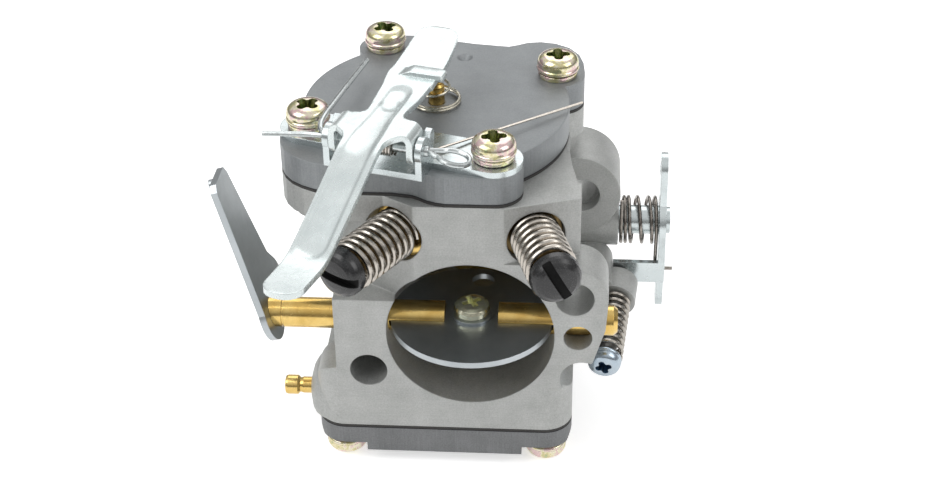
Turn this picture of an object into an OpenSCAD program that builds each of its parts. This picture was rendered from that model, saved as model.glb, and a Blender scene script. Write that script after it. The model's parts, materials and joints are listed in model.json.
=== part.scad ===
// Large diaphragm carburetor for a chainsaw or cut-off saw.
// Origin: centre of the choke bore on the front (air filter) flange face.
// +X to the throttle side, +Y along the air flow towards the engine, +Z up.

/* [Air passage] */
// Diameter of the choke bore at the front flange
bore_d = 31.75; // [30:0.05:33]
// Diameter of the venturi throat
venturi_d = 24; // [20:0.5:26]
// Diameter of the throttle bore at the rear flange
throttle_bore_d = 28.6; // [27:0.1:31]
// Length of the body from the front flange face to the rear flange face
body_depth = 50; // [48:0.5:54]

/* [Flanges] */
// Distance between the centres of the two mounting bolt holes
bolt_span = 42.86; // [42:0.02:46]
// Angle of the line through the bolt holes, from horizontal
bolt_angle = 24.25; // [22:0.25:27]
// Diameter of the mounting bolt holes
bolt_hole_d = 7.2; // [6:0.1:7.6]
// Thickness of the front flange and its ear
flange_t = 9.6; // [7:0.1:11]
// Radius of the front ear round its bolt hole
ear_r = 6.2; // [5.6:0.1:7.2]
// Thickness of the rear flange
rear_flange_t = 13; // [12:0.5:15]
// Radius of the rear lugs round the bolt holes
rear_lug_r = 8.7; // [7.6:0.1:9.2]

/* [Body] */
// Height of the upper gasket face above the bore centre
body_top = 28.2; // [27.6:0.1:31]
// Depth of the lower gasket face below the bore centre
body_drop = 22.2; // [21:0.1:25]
// Wall between the choke bore and the right side of the body
side_wall = 4.4; // [4:0.1:6]
// Distance from the bore centre to the left edge of the pump base
base_left = 30.3; // [29.6:0.1:31]
// Length of the pump base along the air flow
base_len = 47; // [44:0.5:48]
// Corner radius of the pump base in plan
base_corner_r = 5.5; // [3:0.25:7]

/* [Metering side] */
// Radius of the round metering bowl and its cover
bowl_r = 25.4; // [24.8:0.1:26.2]
// Spacing of the four cover screws, which stand in a square
cover_screw_span = 36.6; // [35.5:0.1:37.5]
// Turn of that square seen from above, clockwise
cover_turn = 17; // [15:0.5:19]
// Radius of the ear round each cover screw
cover_ear_r = 5.3; // [5:0.1:6]
// Thickness of the metering cover
cover_t = 5.45; // [5:0.05:7]
// Thickness of each gasket
gasket_t = 0.5; // [0.3:0.05:0.8]
// Thickness of each diaphragm
diaphragm_t = 0.25; // [0.15:0.05:0.4]
// Radius of the metering chamber under the diaphragm
chamber_r = 19; // [18:0.5:20]
// Depth of the metering chamber
chamber_depth = 2.8; // [2.6:0.1:3]

/* [Pump side] */
// Thickness of the pump cover
pump_cover_t = 5.55; // [5:0.05:7]
// Depth of the recesses for the screw heads in the pump cover
pump_step = 1.8; // [1:0.1:2.2]
// Inset of the pump screws from the sides of the base
pump_screw_inset = 5.1; // [4.9:0.1:5.8]

/* [Cover screws] */
// Diameter of the pan heads
head_d = 8.3; // [7.6:0.1:8.6]
// Height of the pan heads
head_h = 3.3; // [2.4:0.1:3.6]
// Diameter of the screw shanks
shank_d = 4; // [3.5:0.1:4.4]
// Outer diameter of the split lock washers
lock_d = 7.8; // [7:0.1:8.2]
// Thickness of the split lock washers
lock_t = 1.2; // [0.8:0.1:1.4]

/* [Choke] */
// Diameter of the choke shaft
choke_shaft_d = 5.9; // [5.4:0.1:6.3]
// Distance of the choke shaft behind the front flange face
choke_y = 6.2; // [5.6:0.1:6.8]
// Thickness of the choke plate
choke_plate_t = 1.2; // [0.8:0.1:1.5]
// Outward lean of the choke lever
choke_lean = 16.2; // [12:0.2:20]
// Length of the choke lever above its shaft
choke_lever_len = 30; // [24:0.5:36]
// Thickness of the choke lever
choke_lever_t = 1.3; // [1:0.1:2]

/* [Throttle] */
// Diameter of the throttle shaft
throttle_shaft_d = 6; // [5.4:0.1:6.4]
// Distance of the throttle shaft in front of the rear flange face
throttle_back = 7.6; // [6.8:0.1:8.4]
// Thickness of the throttle plate
throttle_plate_t = 1; // [0.8:0.1:1.4]
// Distance of the throttle lever from the bore centre
throttle_lever_x = 36.4; // [35.6:0.1:38]
// Thickness of the throttle lever
throttle_lever_t = 1.4; // [1:0.1:2]
// Outer diameter of the return spring
return_spring_d = 10.5; // [10:0.1:11.5]

/* [Mixture screws] */
// Height of the mixture screws above the bore centre
mixture_z = 21; // [20.6:0.1:21.6]
// Outward turn of the right mixture screw, seen from above
high_turn = 17; // [14:0.5:19]
// Outward turn of the left mixture screw, seen from above
low_turn = 32; // [29:0.5:34]
// Diameter of the needle threads
needle_d = 5; // [4.4:0.1:5]
// Outer diameter of the mixture screw springs
mixture_spring_d = 9.6; // [9:0.1:9.8]
// Wire diameter of the mixture screw springs
mixture_wire_d = 1.2; // [0.9:0.05:1.25]
// Diameter of the plastic caps
cap_d = 9.4; // [9:0.1:10.4]
// Length of the plastic caps
cap_len = 3.7; // [3.2:0.1:4.6]
// Length of the right mixture spring outside the body
high_spring_len = 11.9; // [10.5:0.1:14]
// Length of the left mixture spring outside the body
low_spring_len = 14.1; // [12:0.1:16]

/* [Primer lever] */
// Thickness of the lever and of its bracket
sheet_t = 1.2; // [1:0.1:1.4]
// Width of the lever
lever_w = 8; // [7:0.1:9]
// Reach of the lever in front of its pivot
lever_front = 42.2; // [40:0.1:45]
// Reach of the lever behind its pivot
lever_rear = 36.1; // [34:0.1:38]
// Height of the pivot above the bracket plate
pivot_rise = 3.9; // [3.8:0.1:4.2]
// Diameter of the pivot pin
pivot_d = 2; // [1.8:0.05:2.2]
// Turn of the lever seen from above, clockwise
lever_turn = 15.5; // [14.5:0.25:16.5]
// Diameter of the primer pin
primer_pin_d = 3.1; // [2.8:0.1:3.4]

/* [Fuel inlet] */
// Diameter of the inlet tube at its end bead
inlet_d = 3.9; // [3.4:0.1:4.4]
// Height of the inlet below the bore centre
inlet_drop = 19.7; // [19:0.1:19.8]
// Distance from the bore centre to the end of the inlet boss
inlet_face = 32.1; // [31.5:0.1:33]
// Radius of the inlet boss where it meets the body
inlet_boss_r = 8.4; // [7.6:0.1:8.6]

/* [Fits] */
// Radial clearance of the turning shafts and pins
running_fit = 0.05; // [0.02:0.01:0.1]
// Radial clearance of screws in their tapped holes
thread_fit = 0.06; // [0.03:0.01:0.1]
// Radial clearance of screws in their through holes
through_fit = 0.25; // [0.15:0.05:0.4]
// Clearance between pieces that move past each other
side_gap = 0.3; // [0.2:0.05:0.4]

/* [Hidden] */
$fn = 64;

eps = 0.01;
bore_r = bore_d / 2;
bolt_x = bolt_span / 2 * cos(bolt_angle);
bolt_z = bolt_span / 2 * sin(bolt_angle);
bolt_r = bolt_hole_d / 2;
body_left = -(bolt_x + ear_r);
body_right = bore_r + side_wall;
core_right = body_right - 2.5;
base_right = body_right - 0.8;
rear_y = body_depth - rear_flange_t;
gasket_room_z = body_right + 0.4;

// Pads that carry the mixture screws: each is a vertical plane through a point of the front edge
high_pad_x = 6.3;
high_pad_floor = 16.2;
low_pad_x = -10.1;
low_pad_floor = 7.4;
high_base = [high_pad_x + 5.9, 5.9 * tan(high_turn), mixture_z];
low_base = [low_pad_x - 3.6, 3.6 * tan(low_turn), mixture_z];
counterbore_r = mixture_spring_d / 2 + 0.75;
counterbore_depth = 2.6;
washer_t = 0.9;

// Metering side
cover_centre = [-7.75, 28.2];
cover_half = cover_screw_span / 2;
cover_corners = [for (c = [[1, -1], [-1, -1], [-1, 1], [1, 1]])
    cover_centre + turned(cover_half * c, -cover_turn)];
gasket_z = body_top;
diaphragm_z = gasket_z + gasket_t;
cover_z = diaphragm_z + diaphragm_t;
cover_top = cover_z + cover_t;
bowl_rim = 5.6;
bowl_cone = 6.7;
chamber_z = body_top - chamber_depth;
dry_depth = 2.45;
dry_r = 17;
nozzle = [1, 25];
nozzle_r = 2;
plug_r = 3;
plug_places = [nozzle, [1.5, 38]];
channel_y = 31.9;
channel_z = 12;
channel_r = 1.5;

// Pump side
pump_gasket_z = -body_drop - gasket_t;
pump_diaphragm_z = pump_gasket_z - diaphragm_t;
pump_bottom = pump_diaphragm_z - pump_cover_t;
pump_seat = pump_bottom + pump_step;
pump_screw_x = [-base_left + pump_screw_inset, base_right - pump_screw_inset];
pump_screw_y = [pump_screw_inset + 0.1, base_len - pump_screw_inset - 0.1];
pump_chamber_r = 11;
pump_recess = 4.6;
pump_centre = [-6, 24];
inlet_y = 8.9;
inlet_stem_r = 1.6;
inlet_well_x = -inlet_face + 11;

// Screws
shank_r = shank_d / 2;
tapped_r = shank_r + thread_fit;
through_r = shank_r + through_fit;
screw_bite = 9;
cover_bite = 6.8;

// Shafts
choke_r = choke_shaft_d / 2;
throttle_r = throttle_shaft_d / 2;
throttle_y = body_depth - throttle_back;
choke_plate_r = bore_r - side_gap;
throttle_plate_r = throttle_bore_d / 2 - 0.1;
slot_fit = 0.03;
choke_end = -38.2;
choke_right = 27.7;
choke_stub_r = 2;
choke_washer_t = 0.5;
plate_screw_r = 1.25;
throttle_boss_r = 5.4;
throttle_boss_x = bolt_x + rear_lug_r - 0.2;
throttle_left = -(bolt_x + rear_lug_r);
lug_pocket = 3;
clip_t = 0.6;
spring_wire = 1;
return_r = (return_spring_d - spring_wire) / 2;
throttle_arm_up = 11.6;

// Idle screw: its tip rests on the tab of the throttle lever
tab_y = throttle_y - 6.6;
tab_z = -8.8;
tab_half = 2.35;
idle_tip = [28.4, tab_y, tab_z];
idle_dir = unit([-0.11, -0.978, -0.176]);
idle_len = 24.4;
idle_r = 2;
idle_head_d = 6.7;
idle_boss_r = 4.3;
idle_boss = [3, 8.6];
idle_web_y = tab_y - idle_boss[1] - 0.2;
idle_spring_d = 7;

// Primer lever and its bracket
bracket_z = cover_top;
plate_z = bracket_z + sheet_t;
pivot = [-16.5, 3.1, plate_z + pivot_rise];
pivot_r = pivot_d / 2;
bracket_half = 9.4;
lever_half = bracket_half - sheet_t - 0.2;
lever_rise = 3.5;
primer_reach = turned([cover_centre.x - pivot.x, cover_centre.y - pivot.y], lever_turn);
primer_top = pivot.z + lever_rise + 1.3 - sheet_t / 2 - 0.15;

// Side view of the lever strip: centre line from front tip to rear end, [reach, height]
lever_line = [[-lever_front, lever_rise - 8.9], [-lever_front + 4.6, lever_rise - 9.4],
              [-lever_front + 10.8, lever_rise - 9.9], [-lever_front + 14, lever_rise - 9.1],
              [-15, lever_rise - 2.9], [-8.4, lever_rise - 0.3], [-4, lever_rise], [11, lever_rise],
              [17, lever_rise + 0.8], [lever_rear, lever_rise + 1.8]];

// Inlet valve: the needle, the fulcrum and the lever tip stand in one line through the cover centre
fulcrum_reach = 8.5;
needle_reach = 13;
fulcrum_z = chamber_z + 1.2;
well_r = 3.05;
seat_floor = chamber_z - 9.9;
seat_top = chamber_z - 0.9;

function unit(v) = v / norm(v);
function turned(p, a) = [p.x * cos(a) - p.y * sin(a), p.x * sin(a) + p.y * cos(a)];

// Ring of points round point i of a path; ref is a direction that the path never follows
function path_tangent(p, i) = unit(p[min(i + 1, len(p) - 1)] - p[max(i - 1, 0)]);
function path_ring(p, i, r, sides, ref) =
    let (t = path_tangent(p, i), u = unit(cross(t, ref)), v = cross(u, t))
    [for (k = [0 : sides - 1]) p[i] + r * (cos(360 * k / sides) * u + sin(360 * k / sides) * v)];

// Points of a coil round Z whose radius and height run from first to last
function coil(r0, r1, z0, z1, turns, start = 0, per_turn = 14) =
    let (n = round(turns * per_turn))
    [for (i = [0 : n])
        let (f = i / n, a = start + 360 * turns * f, r = r0 + (r1 - r0) * f)
        [r * cos(a), r * sin(a), z0 + (z1 - z0) * f]];

function tail(p) = [for (i = [1 : len(p) - 1]) p[i]];

// Round wire along a path of points
module wire(p, r, ref = [0, 0, 1], sides = 8) {
    n = len(p);
    points = [for (i = [0 : n - 1]) each path_ring(p, i, r, sides, ref)];
    walls = [for (i = [0 : n - 2], k = [0 : sides - 1])
        [i * sides + k, i * sides + (k + 1) % sides, (i + 1) * sides + (k + 1) % sides, (i + 1) * sides + k]];
    start_cap = [[for (k = [sides - 1 : -1 : 0]) k]];
    end_cap = [[for (k = [0 : sides - 1]) (n - 1) * sides + k]];
    polyhedron(points, concat(start_cap, walls, end_cap));
}

// Prism along Y from an outline drawn in X and Z
module front_prism(y0, y1) {
    translate([0, y1, 0])
        rotate([90, 0, 0])
            linear_extrude(y1 - y0)
                children();
}

// Rectangle with round corners
module rounded_rect(x0, x1, y0, y1, r) {
    translate([x0 + r, y0]) square([x1 - x0 - 2 * r, y1 - y0]);
    translate([x0, y0 + r]) square([x1 - x0, y1 - y0 - 2 * r]);
    for (x = [x0 + r, x1 - r], y = [y0 + r, y1 - r])
        translate([x, y]) circle(r);
}

// Bar with round ends between two points of a plane
module link(a, b, r) {
    d = b - a;
    side = r * 0.996;
    translate(a) circle(r);
    translate(b) circle(r);
    translate(a) rotate(atan2(d.y, d.x)) translate([0, -side]) square([norm(d), 2 * side]);
}

// Frames: local Z points out of the body along each screw, or along +X or +Y
module at_high() {
    translate(high_base) rotate([0, 0, high_turn]) rotate([90, 0, 0]) children();
}

module at_low() {
    translate(low_base) rotate([0, 0, -low_turn]) rotate([90, 0, 0]) children();
}

module at_idle() {
    tilt = atan2(norm([idle_dir.x, idle_dir.y]), idle_dir.z);
    translate(idle_tip)
        rotate([0, 0, atan2(idle_dir.y, idle_dir.x)])
            rotate([0, tilt, 0])
                children();
}

module along_x(x, y, z) {
    translate([x, y, z]) rotate([0, 90, 0]) children();
}

module along_y(x, y, z) {
    translate([x, y, z]) rotate([-90, 0, 0]) children();
}

module at_pivot() {
    translate(pivot) rotate([0, 0, -lever_turn]) children();
}

// Local X runs from the cover centre towards the inlet needle
module at_valve() {
    translate([cover_centre.x, cover_centre.y, 0]) rotate([0, 0, 180 - cover_turn]) children();
}

// Pan head with a cross recess, seated on Z = 0, its shank pointing down
module pan_screw(d, h, shank, length, recess = 4.6) {
    difference() {
        union() {
            rotate_extrude()
                polygon([[0, 0], [d / 2 - 0.3, 0], [d / 2, 0.35], [d / 2, h * 0.5], [d / 2 * 0.93, h * 0.75],
                         [d / 2 * 0.74, h * 0.92], [d / 2 * 0.45, h], [0, h]]);
            translate([0, 0, -length]) cylinder(r = shank, h = length + eps);
        }
        for (a = [0, 90])
            rotate(a)
                translate([-recess / 2, -0.55, h * 0.35])
                    cube([recess, 1.1, h]);
    }
}

module lock_washer() {
    difference() {
        cylinder(d = lock_d, h = lock_t);
        translate([0, 0, -eps]) cylinder(r = shank_r + 0.15, h = lock_t + 2 * eps);
        translate([0, -0.3, -eps]) cube([lock_d, 0.6, lock_t + 2 * eps]);
    }
}

// Outline shared by the bowl, the metering gasket, the diaphragm and the cover
module metering_outline() {
    front_right = cover_corners[0];
    front_left = cover_corners[1];
    rear_left = cover_corners[2];
    rear_right = cover_corners[3];
    r = cover_ear_r;
    flat_y = front_left.y - 12.5;
    translate(cover_centre) circle(bowl_r);
    for (p = cover_corners)
        link(cover_centre, p, r);
    polygon([
        front_left + [-r, -1], front_left + [-r + 0.5, -4.4], front_left + [-r + 1.6, -7],
        front_left + [-r + 3.2, -9.1], [front_left.x - 0.1, flat_y + 1.9], [front_left.x + 2.4, flat_y + 0.6],
        [front_left.x + 5.4, flat_y], [front_right.x - 17.4, flat_y], [front_right.x - 15.4, flat_y - 0.4],
        [front_right.x - 13.7, flat_y - 1.2], [front_right.x - 12, flat_y - 2.4],
        [front_right.x - 10.3, front_right.y - r + 0.4], [front_right.x - 8.6, front_right.y - r],
        [front_right.x, front_right.y - r], cover_centre
    ]);
    polygon([
        rear_right + [r, 1], rear_right + [r - 0.3, 5], rear_right + [r - 1.2, 8.6],
        rear_right + [r - 3.2, 11.6], rear_right + [r - 6, 13.4], rear_right + [r - 9, 14],
        rear_right + [r - 11.6, 13.6], rear_right + [r - 13.6, 12.5], rear_right + [r - 15.4, 11.7],
        rear_right + [r - 17.6, 12], rear_left + [18, 2], rear_left + [14.4, 2.9], rear_left + [12.4, r - 1.1],
        rear_left + [10.4, r - 0.2], rear_left + [8.6, r], rear_left + [0, r], cover_centre
    ]);
}

module metering_screw_holes(z, h, r) {
    for (p = cover_corners)
        translate([p.x, p.y, z]) cylinder(r = r, h = h);
}

module pump_screw_holes(z, h, r) {
    for (x = pump_screw_x, y = pump_screw_y)
        translate([x, y, z]) cylinder(r = r, h = h);
}

module base_plan() {
    rounded_rect(-base_left, base_right, 0, base_len, base_corner_r);
}

// Thin sheet of the metering side, with its screw holes
module metering_sheet(z, t) {
    difference() {
        translate([0, 0, z]) linear_extrude(t) metering_outline();
        metering_screw_holes(z - eps, t + 2 * eps, through_r);
    }
}

module pump_sheet(z, t) {
    difference() {
        translate([0, 0, z]) linear_extrude(t) base_plan();
        pump_screw_holes(z - eps, t + 2 * eps, through_r);
    }
}

module front_outline() {
    translate([body_left, -12]) square([body_right - body_left, 12 + body_top]);
    translate([bolt_x, bolt_z]) circle(ear_r);
    polygon([[bolt_x - 3, bolt_z], [bolt_x + ear_r, bolt_z], [bolt_x + ear_r - 0.4, 2], [bolt_x + 3.6, -5.6],
             [bolt_x + 2.8, -6.3], [bolt_x - 3, -6.4]]);
}

module rear_outline() {
    circle(bore_r + side_wall);
    link(-[bolt_x, bolt_z], [bolt_x, bolt_z], rear_lug_r);
    translate([body_left + 2, -body_drop]) square([core_right - body_left - 2, body_drop + bolt_z]);
}

module core_plan() {
    polygon([[body_left, 0], [body_right, 0], [body_right, 6], [body_right - 1.8, 15.6], [core_right, 22],
             [core_right, body_depth], [body_left + 2, body_depth], [body_left + 2, flange_t + 6],
             [body_left, flange_t]]);
}

// Cuts that leave the two slanted pads for the mixture screws
module pad_cuts() {
    translate([0, 0, high_pad_floor])
        linear_extrude(body_top)
            polygon([[high_pad_x, -1], [high_pad_x, 0], [high_pad_x + 20, 20 * tan(high_turn)],
                     [high_pad_x + 20, -1]]);
    translate([0, 0, low_pad_floor])
        linear_extrude(body_top)
            polygon([[low_pad_x, -1], [low_pad_x, 0], [low_pad_x - 20, 20 * tan(low_turn)],
                     [low_pad_x - 20, -1]]);
}

module front_block() {
    difference() {
        union() {
            front_prism(0, flange_t) front_outline();
            translate([0, 0, -12])
                linear_extrude(12 + body_top - 6)
                    core_plan();
            translate([0, 0, body_top - 6 - eps])
                linear_extrude(6 + eps)
                    intersection() {
                        core_plan();
                        translate([body_left, 0]) square([60, cover_centre.y]);
                    }
        }
        pad_cuts();
    }
}

// Round bowl under the cover, tapering down to the body, with a column under each ear
module bowl() {
    translate([0, 0, body_top - bowl_rim])
        linear_extrude(bowl_rim)
            metering_outline();
    translate([cover_centre.x, cover_centre.y, body_top - bowl_rim - bowl_cone])
        cylinder(r1 = bowl_r - 7.5, r2 = bowl_r - 0.5, h = bowl_cone + 0.6);
    for (p = cover_corners)
        translate([p.x, p.y, body_top - bowl_rim - 5.2])
            cylinder(r1 = 3.2, r2 = cover_ear_r - 0.4, h = 5.2 + 0.4);
}

// Plate under the body, lowered behind the inlet boss on its left side
module pump_base() {
    shoulder_z = -14;
    shoulder_r = 5.5;
    relief_len = 21;
    difference() {
        intersection() {
            front_prism(0, base_len) {
                translate([-base_left, -body_drop])
                    square([base_left + base_right, body_drop + shoulder_z]);
                translate([-base_left + shoulder_r, shoulder_z]) circle(shoulder_r);
                translate([-base_left + shoulder_r, shoulder_z]) square([15, shoulder_r]);
                translate([-base_left + shoulder_r, shoulder_z])
                    square([base_left + base_right - shoulder_r, 3.5]);
            }
            translate([0, 0, -body_drop - 1]) linear_extrude(body_drop) base_plan();
        }
        translate([-base_left - 1, flange_t, shoulder_z - 2.6]) cube([shoulder_r + 1, relief_len, 15]);
    }
}

// Domed boss that holds the inlet tube, cut off level with the lower gasket face
module inlet_boss() {
    r = inlet_boss_r;
    difference() {
        along_x(-inlet_face, inlet_y, -inlet_drop)
            rotate_extrude()
                polygon([[0, 0], [r - 5.6, 0], [r - 3.7, 0.5], [r - 2.3, 1.3], [r - 1.2, 2.4], [r - 0.5, 3.7],
                         [r - 0.1, 5.2], [r, 6.6], [r, 12], [0, 12]]);
        translate([-inlet_face - 1, inlet_y - 10, -body_drop - 10]) cube([20, 20, 10]);
    }
}

// Boss for the idle screw with the web that carries it
module idle_boss_solid() {
    at_idle()
        translate([0, 0, idle_boss[0]])
            cylinder(r = idle_boss_r, h = idle_boss[1] - idle_boss[0]);
    along_y(body_right + 2.5, idle_web_y, -7.5) cylinder(r = 4.4, h = 12);
    translate([core_right - 4, idle_web_y, -11.9]) cube([9, 12, 8.8]);
}

module body_bosses() {
    along_x(0, throttle_y, 0) cylinder(r = throttle_boss_r, h = throttle_boss_x);
    along_x(throttle_left, throttle_y, 0) cylinder(r = throttle_boss_r, h = -throttle_left);
    inlet_boss();
    idle_boss_solid();
}

// Air passage: choke bore, venturi and throttle bore, turned about the Y axis
module air_passage() {
    along_y(0, 0, 0)
        rotate_extrude()
            polygon([[0, -1], [bore_r, -1], [bore_r, 13], [venturi_d / 2, 22], [venturi_d / 2, 27],
                     [throttle_bore_d / 2, 35], [throttle_bore_d / 2, body_depth + 1], [0, body_depth + 1]]);
}

module needle_hole() {
    translate([0, 0, -20]) cylinder(r = needle_d / 2 + running_fit, h = 21);
    translate([0, 0, -counterbore_depth]) cylinder(r = counterbore_r, h = counterbore_depth + 8);
}

module bolt_holes() {
    for (s = [-1, 1])
        along_y(s * bolt_x, -1, s * bolt_z) cylinder(r = bolt_r, h = body_depth + 2);
    along_y(bolt_x, flange_t, bolt_z) cylinder(r = bolt_r + 0.8, h = rear_y - flange_t);
    along_y(0, rear_y - 1, 0)
        linear_extrude(lug_pocket + 1)
            link([bolt_x, -bolt_z], [bolt_x + 0.8, -bolt_z], bolt_r + 0.1);
}

module metering_cuts() {
    translate([cover_centre.x, cover_centre.y, chamber_z]) cylinder(r = chamber_r, h = chamber_depth + 1);
    metering_screw_holes(body_top - cover_bite - 0.2, cover_bite + 1, tapped_r);
    at_valve() {
        translate([needle_reach, 0, seat_floor]) cylinder(r = well_r, h = 12);
        translate([needle_reach, 0, seat_floor - 4]) cylinder(r = 0.9, h = 6);
        translate([fulcrum_reach / 2, 0, chamber_z - 4]) cylinder(r = 2.1, h = 5);
        translate([fulcrum_reach, 5.4, chamber_z - 5]) cylinder(r = 1.25 + thread_fit, h = 6);
    }
    translate([nozzle.x, nozzle.y, venturi_d / 2 - 4]) cylinder(r = nozzle_r + running_fit, h = 12);
    for (p = plug_places)
        translate([p.x, p.y, chamber_z - 1.1]) cylinder(r = plug_r + running_fit, h = 2);
}

module pump_cuts() {
    pump_screw_holes(-body_drop - 1, screw_bite + 1, tapped_r);
    translate([pump_centre.x, pump_centre.y, -body_drop - 1]) cylinder(r = pump_chamber_r, h = 3);
    along_x(-inlet_face - 1, inlet_y, -inlet_drop) cylinder(r = inlet_stem_r + thread_fit, h = 5);
    along_x(-inlet_face + 3.5, inlet_y, -inlet_drop) cylinder(r = 1, h = 8);
    translate([inlet_well_x, inlet_y, -body_drop - 1]) cylinder(r = 1, h = 1 + body_drop - inlet_drop);
    along_x(body_left - 1, channel_y, channel_z) cylinder(r = channel_r + thread_fit, h = 3);
    along_x(body_left - 1, channel_y, channel_z) cylinder(r = 0.9, h = 8);
    along_y(-14, rear_y, -18.5) cylinder(r = 1.1, h = rear_flange_t + 1);
}

module side_cuts() {
    translate([body_right + 0.9, flange_t - 12, -9.8]) rotate([-90, 0, 0]) cylinder(r = 4.2, h = 32);
    along_y(bolt_x + 0.7, -1, 0) cylinder(r = 2.7, h = choke_y + 1);
    translate([body_left - 1, flange_t + 7, -3.5]) cube([4.2, rear_y - flange_t - 10, 12]);
    translate([-bowl_r - 10, body_depth, -body_drop]) cube([2 * bowl_r, 10, body_drop + gasket_room_z]);
    translate([-bowl_r - 10, body_depth - 0.6, gasket_room_z - 0.35]) cube([2 * bowl_r, 10, 0.35]);
}

// Cast aluminium body with the whole air passage
module body() {
    color("#a2a49f")
        difference() {
            union() {
                front_block();
                bowl();
                pump_base();
                front_prism(rear_y, body_depth) rear_outline();
                body_bosses();
            }
            air_passage();
            bolt_holes();
            side_cuts();
            at_high() needle_hole();
            at_low() needle_hole();
            metering_cuts();
            pump_cuts();
            along_x(body_left - 4, choke_y, 0) cylinder(r = choke_r + running_fit, h = 60);
            along_x(throttle_left - 1, throttle_y, 0) cylinder(r = throttle_r + running_fit, h = 60);
            at_idle() translate([0, 0, -1]) cylinder(r = idle_r + running_fit, h = 20);
        }
}

module metering_cover() {
    color("#8c8e8c")
        difference() {
            translate([0, 0, cover_z]) linear_extrude(cover_t) metering_outline();
            metering_screw_holes(cover_z - eps, cover_t + 1, through_r);
            translate([cover_centre.x, cover_centre.y, cover_z - eps]) cylinder(r = dry_r, h = dry_depth);
            translate([cover_centre.x, cover_centre.y, cover_z])
                cylinder(r = primer_pin_d / 2 + running_fit, h = cover_t + 1);
            translate([-3.6, 47, cover_z - eps]) cylinder(r = 0.4, h = cover_t + 1);
            translate([-3.6, 47, cover_top - 1.1]) cylinder(r1 = 0.4, r2 = 1.6, h = 1.1 + eps);
        }
}

module metering_gasket() {
    color("#2c2b29")
        difference() {
            metering_sheet(gasket_z, gasket_t);
            translate([cover_centre.x, cover_centre.y, gasket_z - eps]) cylinder(r = chamber_r, h = 1);
        }
}

module metering_diaphragm() {
    color("#1f2021") {
        metering_sheet(diaphragm_z, diaphragm_t);
        translate([cover_centre.x, cover_centre.y, chamber_z + 2.4])
            cylinder(r = 1.6, h = diaphragm_z + diaphragm_t + 0.15 - chamber_z - 2.4);
    }
}

module cover_screws() {
    color("#c9b458")
        for (i = [0 : 3])
            translate([cover_corners[i].x, cover_corners[i].y, (i < 2 ? plate_z : cover_top) + lock_t])
                rotate(25 * i + 10)
                    pan_screw(head_d, head_h, shank_r, cover_bite + cover_t + lock_t);
}

module cover_lock_washers() {
    color("#b8a04a")
        for (i = [0 : 3])
            translate([cover_corners[i].x, cover_corners[i].y, i < 2 ? plate_z : cover_top])
                rotate(70 * i)
                    lock_washer();
}

module pump_cover() {
    chamfer = 1.8;
    color("#9b9d9a")
        difference() {
            intersection() {
                translate([0, 0, pump_bottom]) linear_extrude(pump_cover_t) base_plan();
                front_prism(0, base_len)
                    polygon([[-base_left, pump_diaphragm_z], [-base_left, pump_diaphragm_z - 2],
                             [-base_left + chamfer, pump_bottom], [base_right - chamfer, pump_bottom],
                             [base_right, pump_diaphragm_z - 2], [base_right, pump_diaphragm_z]]);
            }
            pump_screw_holes(pump_bottom - 1, pump_cover_t + 2, through_r);
            for (x = [-base_left - 1, pump_screw_x[1] - pump_recess])
                translate([x, -1, pump_bottom - 1])
                    cube([pump_screw_inset + pump_recess + 1, base_len + 2, pump_step + 1]);
            translate([pump_centre.x, pump_centre.y, pump_diaphragm_z - 2])
                cylinder(r = pump_chamber_r, h = 3);
            translate([inlet_well_x, inlet_y, pump_diaphragm_z - 1.5]) cylinder(r = 3.2, h = 2);
        }
}

module pump_gasket() {
    color("#2c2b29")
        difference() {
            pump_sheet(pump_gasket_z, gasket_t);
            translate([pump_centre.x, pump_centre.y, pump_gasket_z - eps]) cylinder(r = pump_chamber_r, h = 1);
            translate([inlet_well_x, inlet_y, pump_gasket_z - eps]) cylinder(r = 1.2, h = 1);
        }
}

module pump_diaphragm() {
    color("#1f2021") pump_sheet(pump_diaphragm_z, diaphragm_t);
}

module pump_screws() {
    color("#c9b458")
        for (x = pump_screw_x, y = pump_screw_y)
            translate([x, y, pump_seat - lock_t])
                rotate([180, 0, 0])
                    rotate(x + y)
                        pan_screw(head_d, head_h, shank_r, screw_bite + pump_cover_t - pump_step - 1);
}

module pump_lock_washers() {
    color("#b8a04a")
        for (x = pump_screw_x, y = pump_screw_y)
            translate([x, y, pump_seat - lock_t])
                rotate(3 * x + y)
                    lock_washer();
}

module choke_shaft() {
    notch = 5.1;
    color("#c79a3c") {
        difference() {
            union() {
                along_x(choke_end - 3, choke_y, 0) cylinder(r = choke_r, h = choke_right - 0.8 - choke_end + 3);
                along_x(choke_right - 0.8 - eps, choke_y, 0)
                    cylinder(r1 = choke_r, r2 = choke_r - 0.7, h = 0.8);
            }
            translate([choke_end, choke_y, 0])
                rotate([0, -choke_lean, 0])
                    translate([-10, -10, -20])
                        cube([10, 20, 40]);
            translate([-choke_plate_r - slot_fit, choke_y - 10, -choke_plate_t / 2 - slot_fit])
                cube([2 * choke_plate_r + 2 * slot_fit, 20, choke_plate_t + 2 * slot_fit]);
            translate([-notch, choke_y - 10, -eps]) cube([2 * notch, 20, 10]);
            translate([0, choke_y, -10]) cylinder(r = plate_screw_r + thread_fit, h = 20);
            along_x(-36.4, choke_y, 0)
                difference() {
                    cylinder(r = choke_r + 1, h = 0.4);
                    translate([0, 0, -1]) cylinder(r = choke_r - 0.25, h = 3);
                }
        }
        difference() {
            along_x(choke_end - 2.6, choke_y, 0) cylinder(r = choke_stub_r, h = 4);
            translate([choke_end - choke_lever_t - 0.6, choke_y, 0])
                rotate([0, -choke_lean, 0])
                    translate([-10, -10, -20])
                        cube([10, 20, 40]);
        }
    }
}

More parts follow.
